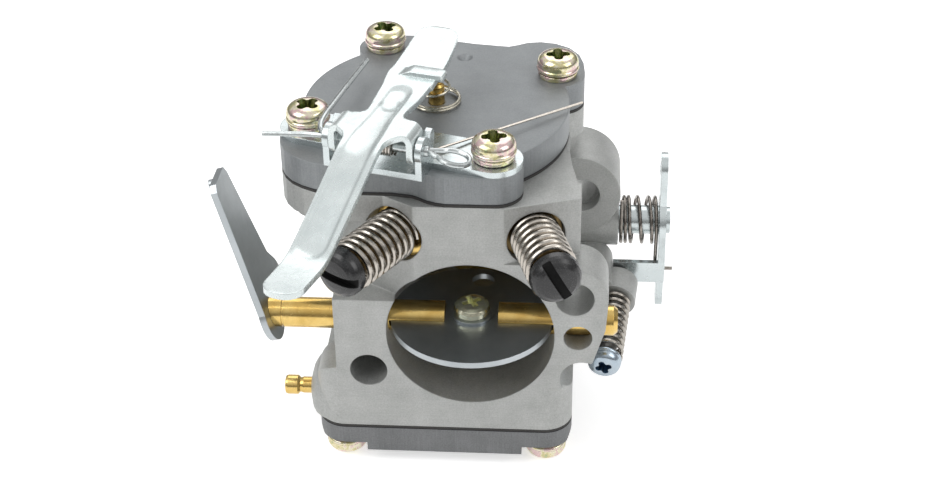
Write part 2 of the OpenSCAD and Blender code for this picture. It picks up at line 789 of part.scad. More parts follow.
module choke_plate() {
    color("#b9bfc2")
        difference() {
            translate([0, choke_y, -choke_plate_t / 2]) cylinder(r = choke_plate_r, h = choke_plate_t);
            translate([0, choke_y, -5]) cylinder(r = plate_screw_r + through_fit / 2, h = 10);
            translate([1.5, choke_y + 11.5, -5]) cylinder(r = 2.2, h = 10);
        }
}

module choke_plate_screw() {
    color("#c9b97a")
        translate([0, choke_y, choke_plate_t / 2 + choke_washer_t])
            rotate(30)
                pan_screw(6.9, 2.5, plate_screw_r, choke_plate_t + choke_washer_t + 2, 3.8);
}

module choke_screw_washer() {
    color("#b9bfc2")
        translate([0, choke_y, choke_plate_t / 2])
            difference() {
                cylinder(r = 3.9, h = choke_washer_t);
                translate([0, 0, -1]) cylinder(r = plate_screw_r + 0.1, h = 3);
            }
}

// Leaning lever of the choke, drawn in its own plane and stood up on the shaft end
module choke_lever() {
    front = -choke_r - 0.6;
    back = 6;
    top = choke_lever_len;
    color("#b4bab8")
        difference() {
            union() {
                translate([choke_end - slot_fit, choke_y, 0])
                    rotate([0, -choke_lean, 0])
                        translate([-choke_lever_t, 0, 0])
                            rotate([90, 0, 90])
                                linear_extrude(choke_lever_t) {
                                    circle(choke_r + 2.6);
                                    link([8.4, 2.8], [1, 1], 3.6);
                                    polygon([[front - 1.6, 1], [front + 1.4, top - 1.2], [front + 2.6, top],
                                             [back - 0.2, top - 0.3], [back + 0.6, top - 1.8],
                                             [back + 3.2, 8], [back + 5.6, 4.6], [back, 1]]);
                                }
                translate([choke_end - slot_fit, choke_y, 0])
                    rotate([0, -choke_lean, 0])
                        translate([-choke_lever_t - 1.4, front + 6.6, top - 1.9])
                            rotate([0, 90, 0])
                                cylinder(r = 1, h = 1.5);
            }
            along_x(choke_end - 6, choke_y, 0) cylinder(r = choke_stub_r + slot_fit, h = 12);
        }
}

module throttle_shaft() {
    notch = 4.2;
    left = throttle_left - 2.2;
    color("#bcc4c8")
        difference() {
            union() {
                along_x(left, throttle_y, 0) cylinder(r = throttle_r, h = throttle_lever_x - left);
                along_x(throttle_lever_x - eps, throttle_y, 0) cylinder(r = 2, h = throttle_lever_t + 0.2);
                along_x(throttle_lever_x + throttle_lever_t, throttle_y, 0) cylinder(r = 2.8, h = 0.9);
            }
            translate([-throttle_plate_r - slot_fit, throttle_y - throttle_plate_t / 2 - slot_fit, -10])
                cube([2 * throttle_plate_r + 2 * slot_fit, throttle_plate_t + 2 * slot_fit, 20]);
            translate([-notch, throttle_y - eps, -10]) cube([2 * notch, 20, 20]);
            along_y(0, throttle_y - 10, 0) cylinder(r = plate_screw_r + thread_fit, h = 20);
            along_x(throttle_left - 0.1 - clip_t, throttle_y, 0)
                difference() {
                    cylinder(r = throttle_r + 1, h = clip_t + 0.05);
                    translate([0, 0, -1]) cylinder(r = throttle_r - 0.6, h = 3);
                }
        }
}

module throttle_plate() {
    color("#c2a25a")
        difference() {
            along_y(0, throttle_y - throttle_plate_t / 2, 0)
                cylinder(r = throttle_plate_r, h = throttle_plate_t);
            along_y(0, throttle_y - 5, 0) cylinder(r = plate_screw_r + through_fit / 2, h = 10);
        }
}

module throttle_plate_screw() {
    color("#c9b97a")
        translate([0, throttle_y + throttle_plate_t / 2, 0])
            rotate([-90, 0, 0])
                rotate(20)
                    pan_screw(5.6, 2.2, plate_screw_r, throttle_plate_t + 1.8, 3.2);
}

// Throttle lever: a flat plate across the shaft, with a tab bent over the idle screw
module throttle_lever() {
    color("#bcc4c8")
        difference() {
            union() {
                translate([throttle_lever_x, throttle_y, 0])
                    rotate([90, 0, 90])
                        linear_extrude(throttle_lever_t) {
                            circle(5.4);
                            link([0, 0], [1.6, throttle_arm_up], 3.2);
                            link([0, 0], [-1.6, -16.6], 3);
                            polygon([[-4.6, 2], [tab_y - throttle_y, tab_z + tab_half],
                                     [tab_y - throttle_y, tab_z - tab_half], [0, -14], [3, 0]]);
                        }
                translate([idle_tip.x - 1.2, tab_y, tab_z - tab_half])
                    cube([throttle_lever_x - idle_tip.x + 1.2 + eps, sheet_t, 2 * tab_half]);
            }
            along_x(throttle_lever_x - 1, throttle_y, 0) cylinder(r = 2 + slot_fit, h = throttle_lever_t + 2);
            along_x(throttle_lever_x - 1, throttle_y + 1.6, throttle_arm_up)
                cylinder(r = 1.5, h = throttle_lever_t + 2);
            along_x(throttle_lever_x - 1, throttle_y - return_r, tab_z)
                cylinder(r = spring_wire / 2 + 0.45, h = throttle_lever_t + 2);
        }
}

// Coil between the boss and the lever: one leg stands up beside the body, the other ends in the lever
module throttle_return_spring() {
    x0 = throttle_boss_x + spring_wire / 2 + 0.05;
    len = throttle_lever_x - spring_wire / 2 - 0.05 - x0;
    dense = 1.55 * spring_wire;
    color("#8b8377")
        translate([x0, throttle_y, 0])
            rotate([0, 90, 0])
                wire(concat([[-return_r - 2.6, -return_r, 0], [-1, -return_r, 0]],
                            coil(return_r, return_r, 0, dense, 1.5, 270),
                            tail(coil(return_r, return_r, dense, len - dense, 2, 90)),
                            tail(coil(return_r, return_r, len - dense, len, 1.5, 90)),
                            [[1, -return_r, len], [-tab_z - 1.2, -return_r, len]],
                            [[-tab_z - 0.35, -return_r, len + 0.35], [-tab_z, -return_r, len + 1.2],
                             [-tab_z, -return_r, len + 3.6]]),
                     spring_wire / 2, [0.02, 1, 0.01]);
}

module throttle_shaft_clip() {
    color("#6d6a62")
        along_x(throttle_left - 0.1 - clip_t + 0.02, throttle_y, 0)
            difference() {
                cylinder(r = throttle_r + 1.6, h = clip_t - 0.04);
                translate([0, 0, -1]) cylinder(r = throttle_r - 0.55, h = 3);
                translate([0, -throttle_r + 0.6, -1]) cube([10, 2 * throttle_r - 1.2, 3]);
            }
}

module idle_screw() {
    color("#a9bccb")
        at_idle() {
            translate([0, 0, side_gap]) cylinder(r1 = 1, r2 = idle_r, h = 1.5);
            translate([0, 0, side_gap + 1.5 - eps]) cylinder(r = idle_r, h = idle_len - side_gap - 1.5);
            translate([0, 0, idle_len]) rotate(20) pan_screw(idle_head_d, 2.8, idle_r, 1, 4);
        }
}

module idle_spring() {
    r = (idle_spring_d - 0.8) / 2;
    color("#8b8377")
        at_idle() wire(coil(r, r, idle_boss[1] + 0.42, idle_len - 0.42, 7), 0.4);
}

// Needle: tip, thread, and a stem that ends inside the plastic cap
module mixture_needle(reach) {
    color("#c79a3c") {
        translate([0, 0, -19]) cylinder(r1 = 0.4, r2 = 1, h = 5);
        translate([0, 0, -14 - eps]) cylinder(r = 1, h = 3);
        translate([0, 0, -11 - eps]) cylinder(r = needle_d / 2, h = reach + 11 - 0.6);
        translate([0, 0, reach - 1]) cylinder(r = needle_d / 2 - 0.5, h = 2.4);
    }
}

module mixture_cap(reach) {
    color("#3f4042")
        translate([0, 0, reach])
            difference() {
                rotate_extrude()
                    polygon([[0, 0], [cap_d / 2 - 0.3, 0], [cap_d / 2, 0.3], [cap_d / 2, cap_len - 2.2],
                             [cap_d / 2 - 0.2, cap_len - 1.5], [cap_d / 2 - 0.65, cap_len - 0.9],
                             [cap_d / 2 - 1.4, cap_len - 0.4], [cap_d / 2 - 2.5, cap_len - 0.1],
                             [cap_d / 2 - 3.6, cap_len], [0, cap_len]]);
                translate([0, 0, -1]) cylinder(r = needle_d / 2 - 0.5 + slot_fit, h = 2.5);
                translate([-cap_d / 2 - 1, -0.85, cap_len - 1.4]) cube([cap_d + 2, 1.7, 3]);
            }
}

module mixture_spring(reach, turns) {
    r = (mixture_spring_d - mixture_wire_d) / 2;
    z0 = -counterbore_depth + washer_t + mixture_wire_d / 2 + 0.02;
    color("#a59c8c") wire(coil(r, r, z0, reach - mixture_wire_d / 2 - 0.02, turns), mixture_wire_d / 2);
}

module mixture_washer() {
    color("#c79a3c")
        translate([0, 0, -counterbore_depth])
            difference() {
                cylinder(r = counterbore_r - 0.1, h = washer_t);
                translate([0, 0, -1]) cylinder(r = needle_d / 2 + 0.1, h = 4);
            }
}

module high_needle() { at_high() mixture_needle(high_spring_len); }
module high_needle_cap() { at_high() rotate(118) mixture_cap(high_spring_len); }
module high_needle_spring() { at_high() mixture_spring(high_spring_len, 7); }
module high_needle_washer() { at_high() mixture_washer(); }
module low_needle() { at_low() mixture_needle(low_spring_len); }
module low_needle_cap() { at_low() rotate(-4) mixture_cap(low_spring_len); }
module low_needle_spring() { at_low() mixture_spring(low_spring_len, 8.5); }
module low_needle_washer() { at_low() mixture_washer(); }

module fuel_inlet() {
    color("#c79a3c")
        along_x(-inlet_face, inlet_y, -inlet_drop)
            difference() {
                rotate_extrude()
                    polygon([[0, -5.6], [1.2, -5.6], [inlet_d / 2 - 0.15, -5.4], [inlet_d / 2, -5],
                             [inlet_d / 2, -3], [inlet_d / 2 - 0.5, -2.5], [inlet_d / 2 - 0.3, -1.9],
                             [inlet_d / 2 - 0.3, 0], [inlet_stem_r, 0], [inlet_stem_r, 3.6], [0, 3.6]]);
                translate([0, 0, -8]) cylinder(r = 0.8, h = 15);
            }
}

module inlet_screen() {
    color("#b9bfc2")
        translate([inlet_well_x, inlet_y, pump_diaphragm_z - 1.5 + eps]) cylinder(r = 3.1, h = 0.4);
}

module inlet_seat() {
    color("#c79a3c")
        at_valve()
            translate([needle_reach, 0, seat_floor])
                difference() {
                    cylinder(r = well_r - running_fit, h = seat_top - seat_floor);
                    translate([0, 0, -1]) cylinder(r = 0.9, h = 12);
                    translate([0, 0, 3]) cylinder(r = 1.75, h = 12);
                }
}

module inlet_needle() {
    color("#9a9c9e")
        at_valve()
            translate([needle_reach, 0, 0])
                rotate_extrude()
                    polygon([[0, seat_floor + 2.5], [0.6, seat_floor + 2.5], [0.8, seat_floor + 3.1],
                             [1.65, seat_floor + 4.4], [1.65, fulcrum_z - 0.75], [0.7, fulcrum_z - 0.75],
                             [0.7, fulcrum_z + 0.65], [1.3, fulcrum_z + 0.65], [1.3, fulcrum_z + 1.05],
                             [0, fulcrum_z + 1.05]]);
}

// Rocking lever between the diaphragm button and the inlet needle
module metering_lever() {
    color("#b9bfc2")
        at_valve()
            difference() {
                union() {
                    translate([-0.8, -1.5, fulcrum_z - 0.35]) cube([needle_reach + 2.6, 3, 0.7]);
                    translate([fulcrum_reach, 1.5, fulcrum_z]) rotate([90, 0, 0]) cylinder(r = 1.1, h = 3);
                }
                translate([fulcrum_reach, 5, fulcrum_z])
                    rotate([90, 0, 0])
                        cylinder(r = 0.75 + running_fit, h = 10);
                translate([needle_reach, 0, fulcrum_z - 2]) cylinder(r = 0.85, h = 4);
                translate([needle_reach, -0.85, fulcrum_z - 2]) cube([4, 1.7, 4]);
            }
}

module fulcrum_pin() {
    color("#a8adb0")
        at_valve()
            translate([fulcrum_reach, 3.6, fulcrum_z])
                rotate([90, 0, 0])
                    cylinder(r = 0.75, h = 7.2);
}

module fulcrum_screw() {
    color("#b9bfc2")
        at_valve()
            translate([fulcrum_reach, 5.4, chamber_z + 0.02])
                pan_screw(3.4, 2, 1.25, 3.5, 2);
}

module metering_spring() {
    color("#a59c8c")
        at_valve()
            translate([fulcrum_reach / 2, 0, 0])
                wire(coil(1.5, 1.5, chamber_z - 3.75, fulcrum_z - 0.65, 5, 0, 12), 0.22, [0, 0, 1], 6);
}

module main_nozzle() {
    color("#c79a3c")
        translate([nozzle.x, nozzle.y, venturi_d / 2 - 2.2])
            difference() {
                cylinder(r = nozzle_r, h = 8);
                translate([0, 0, -1]) cylinder(r = 1, h = 12);
            }
}

module welch_plugs() {
    color("#b0b4b5")
        for (p = plug_places)
            translate([p.x, p.y, chamber_z - 1.08]) cylinder(r = plug_r, h = 0.6);
}

module channel_plug() {
    color("#b0b4b5") along_x(body_left + 1, channel_y, channel_z) cylinder(r = channel_r, h = 1);
}

// Brass pin through the cover: its flange hangs inside, over the diaphragm
module primer_pin() {
    flange_z = cover_z + dry_depth - 0.55;
    color("#b98a2e")
        translate([cover_centre.x, cover_centre.y, 0])
            rotate_extrude()
                polygon([[0, flange_z], [3, flange_z], [3, flange_z + 0.5], [primer_pin_d / 2, flange_z + 0.5],
                         [primer_pin_d / 2, cover_top + 3.6], [1.15, cover_top + 4], [1.15, primer_top - 0.2],
                         [0.95, primer_top], [0, primer_top]]);
}

module primer_spring() {
    r0 = 4.5;
    color("#b5a98a")
        translate([cover_centre.x, cover_centre.y, 0])
            wire(concat(coil(r0, r0 - 0.1, cover_top + 0.3, cover_top + 1, 1.5, 200),
                        tail(coil(r0 - 0.1, 2.4, cover_top + 1, cover_top + 3.6, 1, 20)),
                        tail(coil(2.4, 1.75, cover_top + 3.6, cover_top + 6, 1, 20))), 0.25, [0, 0, 1], 6);
}

// Zinc-plated bracket: a plate under the two front cover screws with two upright ears
module lever_bracket() {
    ear_half = 2.5;
    color("#c9cfd0")
        difference() {
            union() {
                translate([0, 0, bracket_z])
                    linear_extrude(sheet_t) {
                        link([cover_corners[1].x, cover_corners[1].y], [cover_corners[0].x, cover_corners[0].y],
                             cover_ear_r);
                        translate([pivot.x, pivot.y])
                            rotate(-lever_turn)
                                translate([-bracket_half, -2.2])
                                    square([2 * bracket_half, 10]);
                    }
                at_pivot()
                    for (x = [-bracket_half, bracket_half - sheet_t])
                        translate([x, 0, 0])
                            rotate([90, 0, 90])
                                linear_extrude(sheet_t) {
                                    circle(ear_half);
                                    translate([-2.2, -pivot_rise - eps]) square([6.2, pivot_rise - 1]);
                                    polygon([[0, -1.2], [4, -1.2], [4.7, 0.9], [4.6, 1.9], [3.9, 2.5],
                                             [3.1, 2.3], [2.3, 1]]);
                                }
            }
            metering_screw_holes(bracket_z - 1, sheet_t + 2, through_r);
            at_pivot() rotate([0, 90, 0]) translate([0, 0, -20]) cylinder(r = pivot_r + running_fit, h = 40);
        }
}

function line_normal(p, i) =
    let (a = p[max(i - 1, 0)], b = p[min(i + 1, len(p) - 1)], d = unit(b - a))
    [-d.y, d.x];

module strip_profile(t) {
    n = len(lever_line);
    polygon(concat([for (i = [0 : n - 1]) lever_line[i] + t / 2 * line_normal(lever_line, i)],
                   [for (i = [n - 1 : -1 : 0]) lever_line[i] - t / 2 * line_normal(lever_line, i)]));
}

module lever_plan() {
    w = lever_w / 2;
    slot_y = primer_reach.y - 9.5;
    difference() {
        union() {
            link([0, -lever_front + w], [0, lever_rear - w], w);
            translate([-lever_half, -3.4]) square([2 * lever_half, 6.2]);
            polygon([[-w, -5], [-w - 1.6, -3.4], [w + 1.6, -3.4], [w, -5]]);
            polygon([[-w, 5.4], [-w - 2.6, 2.8], [w + 2.6, 2.8], [w, 5.4]]);
            link([-0.7, 11], [-0.7, 19], w);
        }
        link([-1.6, slot_y], [2.2, slot_y], 1.3);
    }
}

// Zinc-plated lever: a bent strip with two ears turned down over the pivot pin
module primer_lever() {
    flap_y = primer_reach.y - 8.6;
    color("#d3dadb")
        at_pivot()
            difference() {
                union() {
                    intersection() {
                        rotate([90, 0, 90])
                            translate([0, 0, -lever_half - 1])
                                linear_extrude(2 * lever_half + 2)
                                    strip_profile(sheet_t);
                        translate([0, 0, -20]) linear_extrude(40) lever_plan();
                    }
                    for (x = [-lever_half, lever_half - sheet_t])
                        translate([x, 0, 0])
                            rotate([90, 0, 90])
                                linear_extrude(sheet_t) {
                                    circle(2.6);
                                    translate([-2.6, 0]) square([5.2, lever_rise]);
                                }
                    translate([-2, flap_y, lever_rise + 0.9]) cube([lever_w / 2 + 4, 2.4, 1.3]);
                    translate([lever_w / 2 + 1, flap_y, lever_rise - 0.4]) cube([1, 2.4, 1.4]);
                }
                rotate([0, 90, 0]) translate([0, 0, -20]) cylinder(r = pivot_r + running_fit, h = 40);
            }
}

// Split pin: straight shank through the ears, an eye at one end and two legs at the other
module pivot_pin() {
    end = bracket_half + 0.8;
    eye = [for (a = [-150 : 20 : 150]) [end + 4.6 + 2.9 * cos(a), 2.1 * sin(a) * 1.1, -0.9 * (1 + cos(a)) / 2]];
    color("#aeb3b4")
        at_pivot() {
            rotate([0, 90, 0]) translate([0, 0, -end]) cylinder(r = pivot_r, h = 2 * end);
            wire(concat([[end - 0.3, -0.25, 0]], eye, [[end - 0.3, 0.25, 0]]), 0.5);
            wire([[-end + 0.4, 0, -0.3], [-end - 3, -0.3, -0.35], [-21.1, -2.3, -0.5]], 0.5);
            wire([[-end + 0.4, 0, 0.4], [-end - 0.6, 0.3, 0.6], [-end - 1.3, 2, 1], [-11.9, 5, 1.1],
                  [-13.2, 18, 0], [-14.7, 32.1, -1.5]], 0.5);
        }
}

module lever_torsion_spring() {
    r = 1.75;
    turns = 4.25;
    color("#c3b690")
        at_pivot()
            wire(concat([[1.2, 6.4, 2.3], [1.2, 3.4, 2.2]],
                        [for (p = coil(r, r, 1.2, 3.6, turns, 0, 12)) [p.z, p.x, p.y]],
                        [[4.2, 2.6, 0.3], [5.2, 3.5, -1.6], [8.2, 4.8, -3], [28.65, 33.3, -4.3]]),
                 0.25, [1, 0, 0.02], 6);
}

body();
metering_cover();
metering_gasket();
metering_diaphragm();
cover_screws();
cover_lock_washers();
pump_cover();
pump_gasket();
pump_diaphragm();
pump_screws();
pump_lock_washers();
choke_shaft();
choke_plate();
choke_plate_screw();
choke_screw_washer();
choke_lever();
throttle_shaft();
throttle_plate();
throttle_plate_screw();
throttle_lever();
throttle_return_spring();
throttle_shaft_clip();
idle_screw();
idle_spring();
high_needle();
high_needle_cap();
high_needle_spring();
high_needle_washer();
low_needle();
low_needle_cap();
low_needle_spring();
low_needle_washer();
fuel_inlet();
inlet_screen();
inlet_seat();
inlet_needle();
metering_lever();
fulcrum_pin();
fulcrum_screw();
metering_spring();
main_nozzle();
welch_plugs();
channel_plug();
primer_pin();
primer_spring();
lever_bracket();
primer_lever();
pivot_pin();
lever_torsion_spring();
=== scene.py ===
import json
import math

import bmesh
import bpy
from mathutils import Matrix, Vector


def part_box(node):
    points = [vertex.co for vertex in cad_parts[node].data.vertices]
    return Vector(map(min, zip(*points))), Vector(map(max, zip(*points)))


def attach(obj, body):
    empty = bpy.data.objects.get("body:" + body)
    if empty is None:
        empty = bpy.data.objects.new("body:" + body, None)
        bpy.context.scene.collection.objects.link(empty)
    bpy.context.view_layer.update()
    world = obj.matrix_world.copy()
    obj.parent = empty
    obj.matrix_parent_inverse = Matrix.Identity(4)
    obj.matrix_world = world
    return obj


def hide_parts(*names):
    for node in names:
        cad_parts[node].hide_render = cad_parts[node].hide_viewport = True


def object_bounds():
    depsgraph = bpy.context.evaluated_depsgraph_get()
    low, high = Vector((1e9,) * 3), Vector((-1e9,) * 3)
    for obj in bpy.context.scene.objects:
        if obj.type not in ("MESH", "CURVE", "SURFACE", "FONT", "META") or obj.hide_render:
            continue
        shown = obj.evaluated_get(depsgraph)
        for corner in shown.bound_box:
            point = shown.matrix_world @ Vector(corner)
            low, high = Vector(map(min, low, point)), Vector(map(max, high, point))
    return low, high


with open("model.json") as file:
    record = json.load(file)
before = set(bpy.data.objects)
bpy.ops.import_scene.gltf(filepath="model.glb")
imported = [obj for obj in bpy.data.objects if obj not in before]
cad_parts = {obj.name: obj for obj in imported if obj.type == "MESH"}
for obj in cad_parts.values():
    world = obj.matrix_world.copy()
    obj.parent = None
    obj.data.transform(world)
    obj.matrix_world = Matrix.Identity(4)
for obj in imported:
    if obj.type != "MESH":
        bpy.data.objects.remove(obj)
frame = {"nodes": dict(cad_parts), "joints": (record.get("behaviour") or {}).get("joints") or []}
nodes = frame["nodes"]
joints = {joint["name"]: joint for joint in frame["joints"]}
cad_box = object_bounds()
MM = 0.001


# Body: one aluminium die casting, sand-blasted all over, then milled on the two
# flange faces and bored for the air passage. Everything else is fixed to it.
class Flow:
    """A socket in a material's nodes that can stand in a sum."""

    def __init__(self, tree, socket):
        self.tree = tree
        self.socket = socket

    def node(self, kind, settings, inputs, output=0):
        made = self.tree.nodes.new("ShaderNode" + kind)
        for name, value in settings.items():
            if name == "stops":
                ramp = made.color_ramp.elements
                while len(ramp) < len(value):
                    ramp.new(0.5)
                for stop, (place, colour) in zip(ramp, value):
                    stop.position = place
                    stop.color = (*colour, 1)
            else:
                setattr(made, name, value)
        for name, value in inputs.items():
            if isinstance(value, Flow):
                self.tree.links.new(value.socket, made.inputs[name])
            else:
                made.inputs[name].default_value = value
        return Flow(self.tree, made.outputs[output])

    def sum_of(self, operation, first, second):
        return self.node("Math", {"operation": operation}, {0: first, 1: second})

    def __add__(self, other):
        return self.sum_of("ADD", self, other)

    __radd__ = __add__

    def __sub__(self, other):
        return self.sum_of("SUBTRACT", self, other)

    def __rsub__(self, other):
        return self.sum_of("SUBTRACT", other, self)

    def __mul__(self, other):
        return self.sum_of("MULTIPLY", self, other)

    __rmul__ = __mul__

    def noise(self, scale, detail=2.0, roughness=0.5):
        settings = {"noise_dimensions": "3D"}
        inputs = {"Vector": self, "Scale": scale, "Detail": detail, "Roughness": roughness}
        return self.node("TexNoise", settings, inputs)

    def stretched(self, x, y, z):
        return self.node("VectorMath", {"operation": "MULTIPLY"}, {0: self, 1: (x, y, z)})

    def along(self, axis):
        return self.node("SeparateXYZ", {}, {"Vector": self}, output=axis)

    def steps(self, low, high, to_low=0.0, to_high=1.0):
        settings = {"interpolation_type": "SMOOTHSTEP"}
        inputs = {"Value": self, "From Min": low, "From Max": high, "To Min": to_low, "To Max": to_high}
        return self.node("MapRange", settings, inputs)

    def colours(self, *stops):
        return self.node("ValToRGB", {"stops": stops}, {"Fac": self})

    def blend(self, first, second):
        return self.node("Mix", {"data_type": "RGBA"}, {0: self, 6: first, 7: second}, output=2)


def new_finish(name, **constants):
    """A material with its constants set; returns it with its shader and its place in millimetres."""
    material = bpy.data.materials.new(name)
    material.use_nodes = True
    tree = material.node_tree
    shader = tree.nodes["Principled BSDF"]
    for socket, value in constants.items():
        shader.inputs[socket.replace("_", " ")].default_value = value
    start = Flow(tree, tree.nodes.new("ShaderNodeTexCoord").outputs["Object"])
    place = start.node("VectorMath", {"operation": "SCALE"}, {0: start, "Scale": 1 / MM})
    return material, shader, place


def feed(shader, socket, flow):
    flow.tree.links.new(flow.socket, shader.inputs[socket])


def rounded_bump(shader, place, radius, height=None, distance=0.05, strength=0.5):
    """Rounds the edges of a surface in the light, and lays a grain over it."""
    normal = place.node("Bevel", {"samples": 4}, {"Radius": radius * MM})
    if height is not None:
        inputs = {"Height": height, "Normal": normal, "Distance": distance * MM, "Strength": strength}
        normal = place.node("Bump", {}, inputs)
    feed(shader, "Normal", normal)


def near_edge(place, radius):
    """1 along the edges of a surface, where the colour is painted brighter as a highlight, and 0 away from
    them.
    """
    soft = place.node("Bevel", {"samples": 4}, {"Radius": radius * MM})
    flat = place.node("NewGeometry", {}, {}, output="Normal")
    match = place.node("VectorMath", {"operation": "DOT_PRODUCT"}, {0: soft, 1: flat}, output="Value")
    return match.steps(0.75, 0.96, 1.0, 0.0)


def cast_aluminium(name, dark, light, grain=1.0, streaks=0.0, milled=None):
    """Sand-blasted casting with streaks down its sides, cutter lines in front of the milled plane, and
    painted highlights along its edges.
    """
    material, shader, place = new_finish(name, Metallic=0.5)
    patches = place.noise(0.16, 4, 0.6)
    speckle = place.noise(3.0, 4, 0.8)
    tone = patches * 0.3 + speckle * 0.7
    lines = place.stretched(0.10, 1, 4).noise(1.0, 4, 0.7)
    drawn = place.stretched(3, 3, 0.12).noise(1.0, 4, 0.7)
    upright = place.node("NewGeometry", {}, {}, output="Normal").along(2).steps(0.05, 0.5, 1.0, 0.0)
    tone = tone + (drawn - 0.5) * upright * (0.3 * streaks)
    height = place.noise(3.6, 4, 0.7) * grain + place.noise(0.9, 2) * 0.4
    height = height + drawn * upright * (0.4 * streaks)
    if milled is not None:
        cut = place.along(1).steps(milled, milled + 0.04, 1.0, 0.0)
        tone = tone + (lines - 0.5) * cut * 0.18
        height = height * (1 - cut * 0.45) + lines * cut * 0.12
    plain = tone.colours((0.38, dark), (0.62, light))
    # Painted highlight: edges, concave ones too, are lightened up to 1.45 times, where rounded edges would
    # catch the light.
    bright = tuple(min(1.0, value * 1.45) for value in light)
    painted_edge_highlight = near_edge(place, 0.35) * 0.45
    feed(shader, "Base Color", painted_edge_highlight.blend(plain, (*bright, 1)))
    feed(shader, "Roughness", speckle.steps(0.3, 0.7, 0.42, 0.6))
    rounded_bump(shader, place, 0.4, height, 0.12, 0.6)
    return material


def dress(node, material):
    """Gives a node of the frame its finish in every slot."""
    mesh = nodes[node].data
    if not mesh.materials:
        mesh.materials.append(material)
    for i in range(len(mesh.materials)):
        mesh.materials[i] = material


body_metal = cast_aluminium("cast_body", (0.36, 0.367, 0.355), (0.54, 0.547, 0.535), 1.0, 0.0, 0.02)
dress("body", body_metal)


# Pump side: a gasket and a rubber-coated diaphragm are clamped under the body by a
# small cast cover with four chromated screws and split washers.
def gasket_paper(name, dark, light):
    material, shader, place = new_finish(name, Metallic=0.0)
    fibres = place.noise(1.8, 5, 0.7)
    feed(shader, "Base Color", fibres.colours((0.3, dark), (0.7, light)))
    feed(shader, "Roughness", fibres.steps(0.3, 0.7, 0.7, 0.95))
    rounded_bump(shader, place, 0.08, fibres, 0.04, 0.4)
    return material


def chromate(name, *film_colours):
    """Chromate film over zinc, whose colour shifts with its thickness. Given dark colours, it paints the
    shade inside cross recesses.
    """
    material, shader, place = new_finish(name, Metallic=0.9)
    film = place.noise(0.4, 3, 0.6) * 0.8 + place.noise(2.2, 2, 0.5) * 0.2
    feed(shader, "Base Color", film.colours(*zip((0.30, 0.42, 0.50, 0.58, 0.70), film_colours)))
    wear = place.noise(3.0, 4, 0.6)
    feed(shader, "Roughness", wear.steps(0.3, 0.7, 0.13, 0.24))
    rounded_bump(shader, place, 0.18, wear, 0.012, 0.2)
    return material


def add_piece(name, made, finishes, slot, body, *replaced, crease=35.0):
    """Turns a bmesh in millimetres into a piece that rides on a body and stands for CAD nodes."""
    bmesh.ops.remove_doubles(made, verts=made.verts, dist=0.0005)
    bmesh.ops.recalc_face_normals(made, faces=made.faces)
    bmesh.ops.scale(made, verts=made.verts, vec=(MM, MM, MM))
    mesh = bpy.data.meshes.new(name)
    made.to_mesh(mesh)
    made.free()
    for material in finishes:
        mesh.materials.append(material)
    mesh.shade_smooth()
    mesh.set_sharp_from_angle(angle=math.radians(crease))
    piece = bpy.data.objects.new(name, mesh)
    bpy.context.scene.collection.objects.link(piece)
    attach(piece, body)
    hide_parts(*replaced)
    return piece


def lathe(profile, steps=48):
    """Turns a profile of (radius, height) round Z."""
    made = bmesh.new()
    corners = [made.verts.new((radius, 0, height)) for radius, height in profile]
    for first, second in zip(corners, corners[1:]):
        made.edges.new((first, second))
    bmesh.ops.spin(
        made, geom=made.verts[:] + made.edges[:], cent=(0, 0, 0), axis=(0, 0, 1), angle=math.tau,
        steps=steps, use_merge=True)
    bmesh.ops.remove_doubles(made, verts=made.verts, dist=0.0005)
    bmesh.ops.recalc_face_normals(made, faces=made.faces)
    return made


def carved(made, *cutters):
    """Takes closed cutters away from a closed shape, one after another."""
    for cutter in cutters:
        holders = []
        for name, shape in (("stock", made), ("cutter", cutter)):
            bmesh.ops.recalc_face_normals(shape, faces=shape.faces)
            mesh = bpy.data.meshes.new(name)
            shape.to_mesh(mesh)
            shape.free()
            holder = bpy.data.objects.new(name, mesh)
            bpy.context.scene.collection.objects.link(holder)
            holders.append(holder)
        cut = holders[0].modifiers.new("cut", "BOOLEAN")
        cut.object = holders[1]
        cut.solver = "EXACT"
        bpy.context.view_layer.update()
        made = bmesh.new()
        made.from_object(holders[0], bpy.context.evaluated_depsgraph_get())
        for holder in holders:
            bpy.data.objects.remove(holder)
    return made


def rounded(made, geom, radius, segments, affect="EDGES"):
    """Rounds edges of a solid, or corners of a flat face."""
    bmesh.ops.bevel(
        made, geom=geom, offset=radius, segments=segments, profile=0.5, affect=affect, clamp_overlap=True,
        material=-1)


def recess_wing(width, slot, top, depth, turn):
    """One arm pair of a cross recess, which narrows towards the bottom."""
    wedge = bmesh.new()
    bmesh.ops.create_cube(wedge, size=1)
    bmesh.ops.scale(wedge, verts=wedge.verts, vec=(width, slot, depth))
    bmesh.ops.translate(wedge, verts=wedge.verts, vec=(0, 0, top - depth / 2))
    upright = [e for e in wedge.edges if abs(e.verts[0].co.z - e.verts[1].co.z) > depth / 2]
    rounded(wedge, upright, slot * 0.42, 3)
    low = [v for v in wedge.verts if v.co.z < top - depth / 2]
    bmesh.ops.scale(wedge, verts=low, vec=(0.5, 0.7, 1))
    bmesh.ops.rotate(wedge, verts=wedge.verts, cent=(0, 0, 0), matrix=Matrix.Rotation(turn, 3, "Z"))
    return wedge


dome = (
    (0.985, 0.48), (0.95, 0.66), (0.89, 0.8), (0.8, 0.9), (0.68, 0.97), (0.5, 1.0), (0.25, 1.0), (0, 1.0))


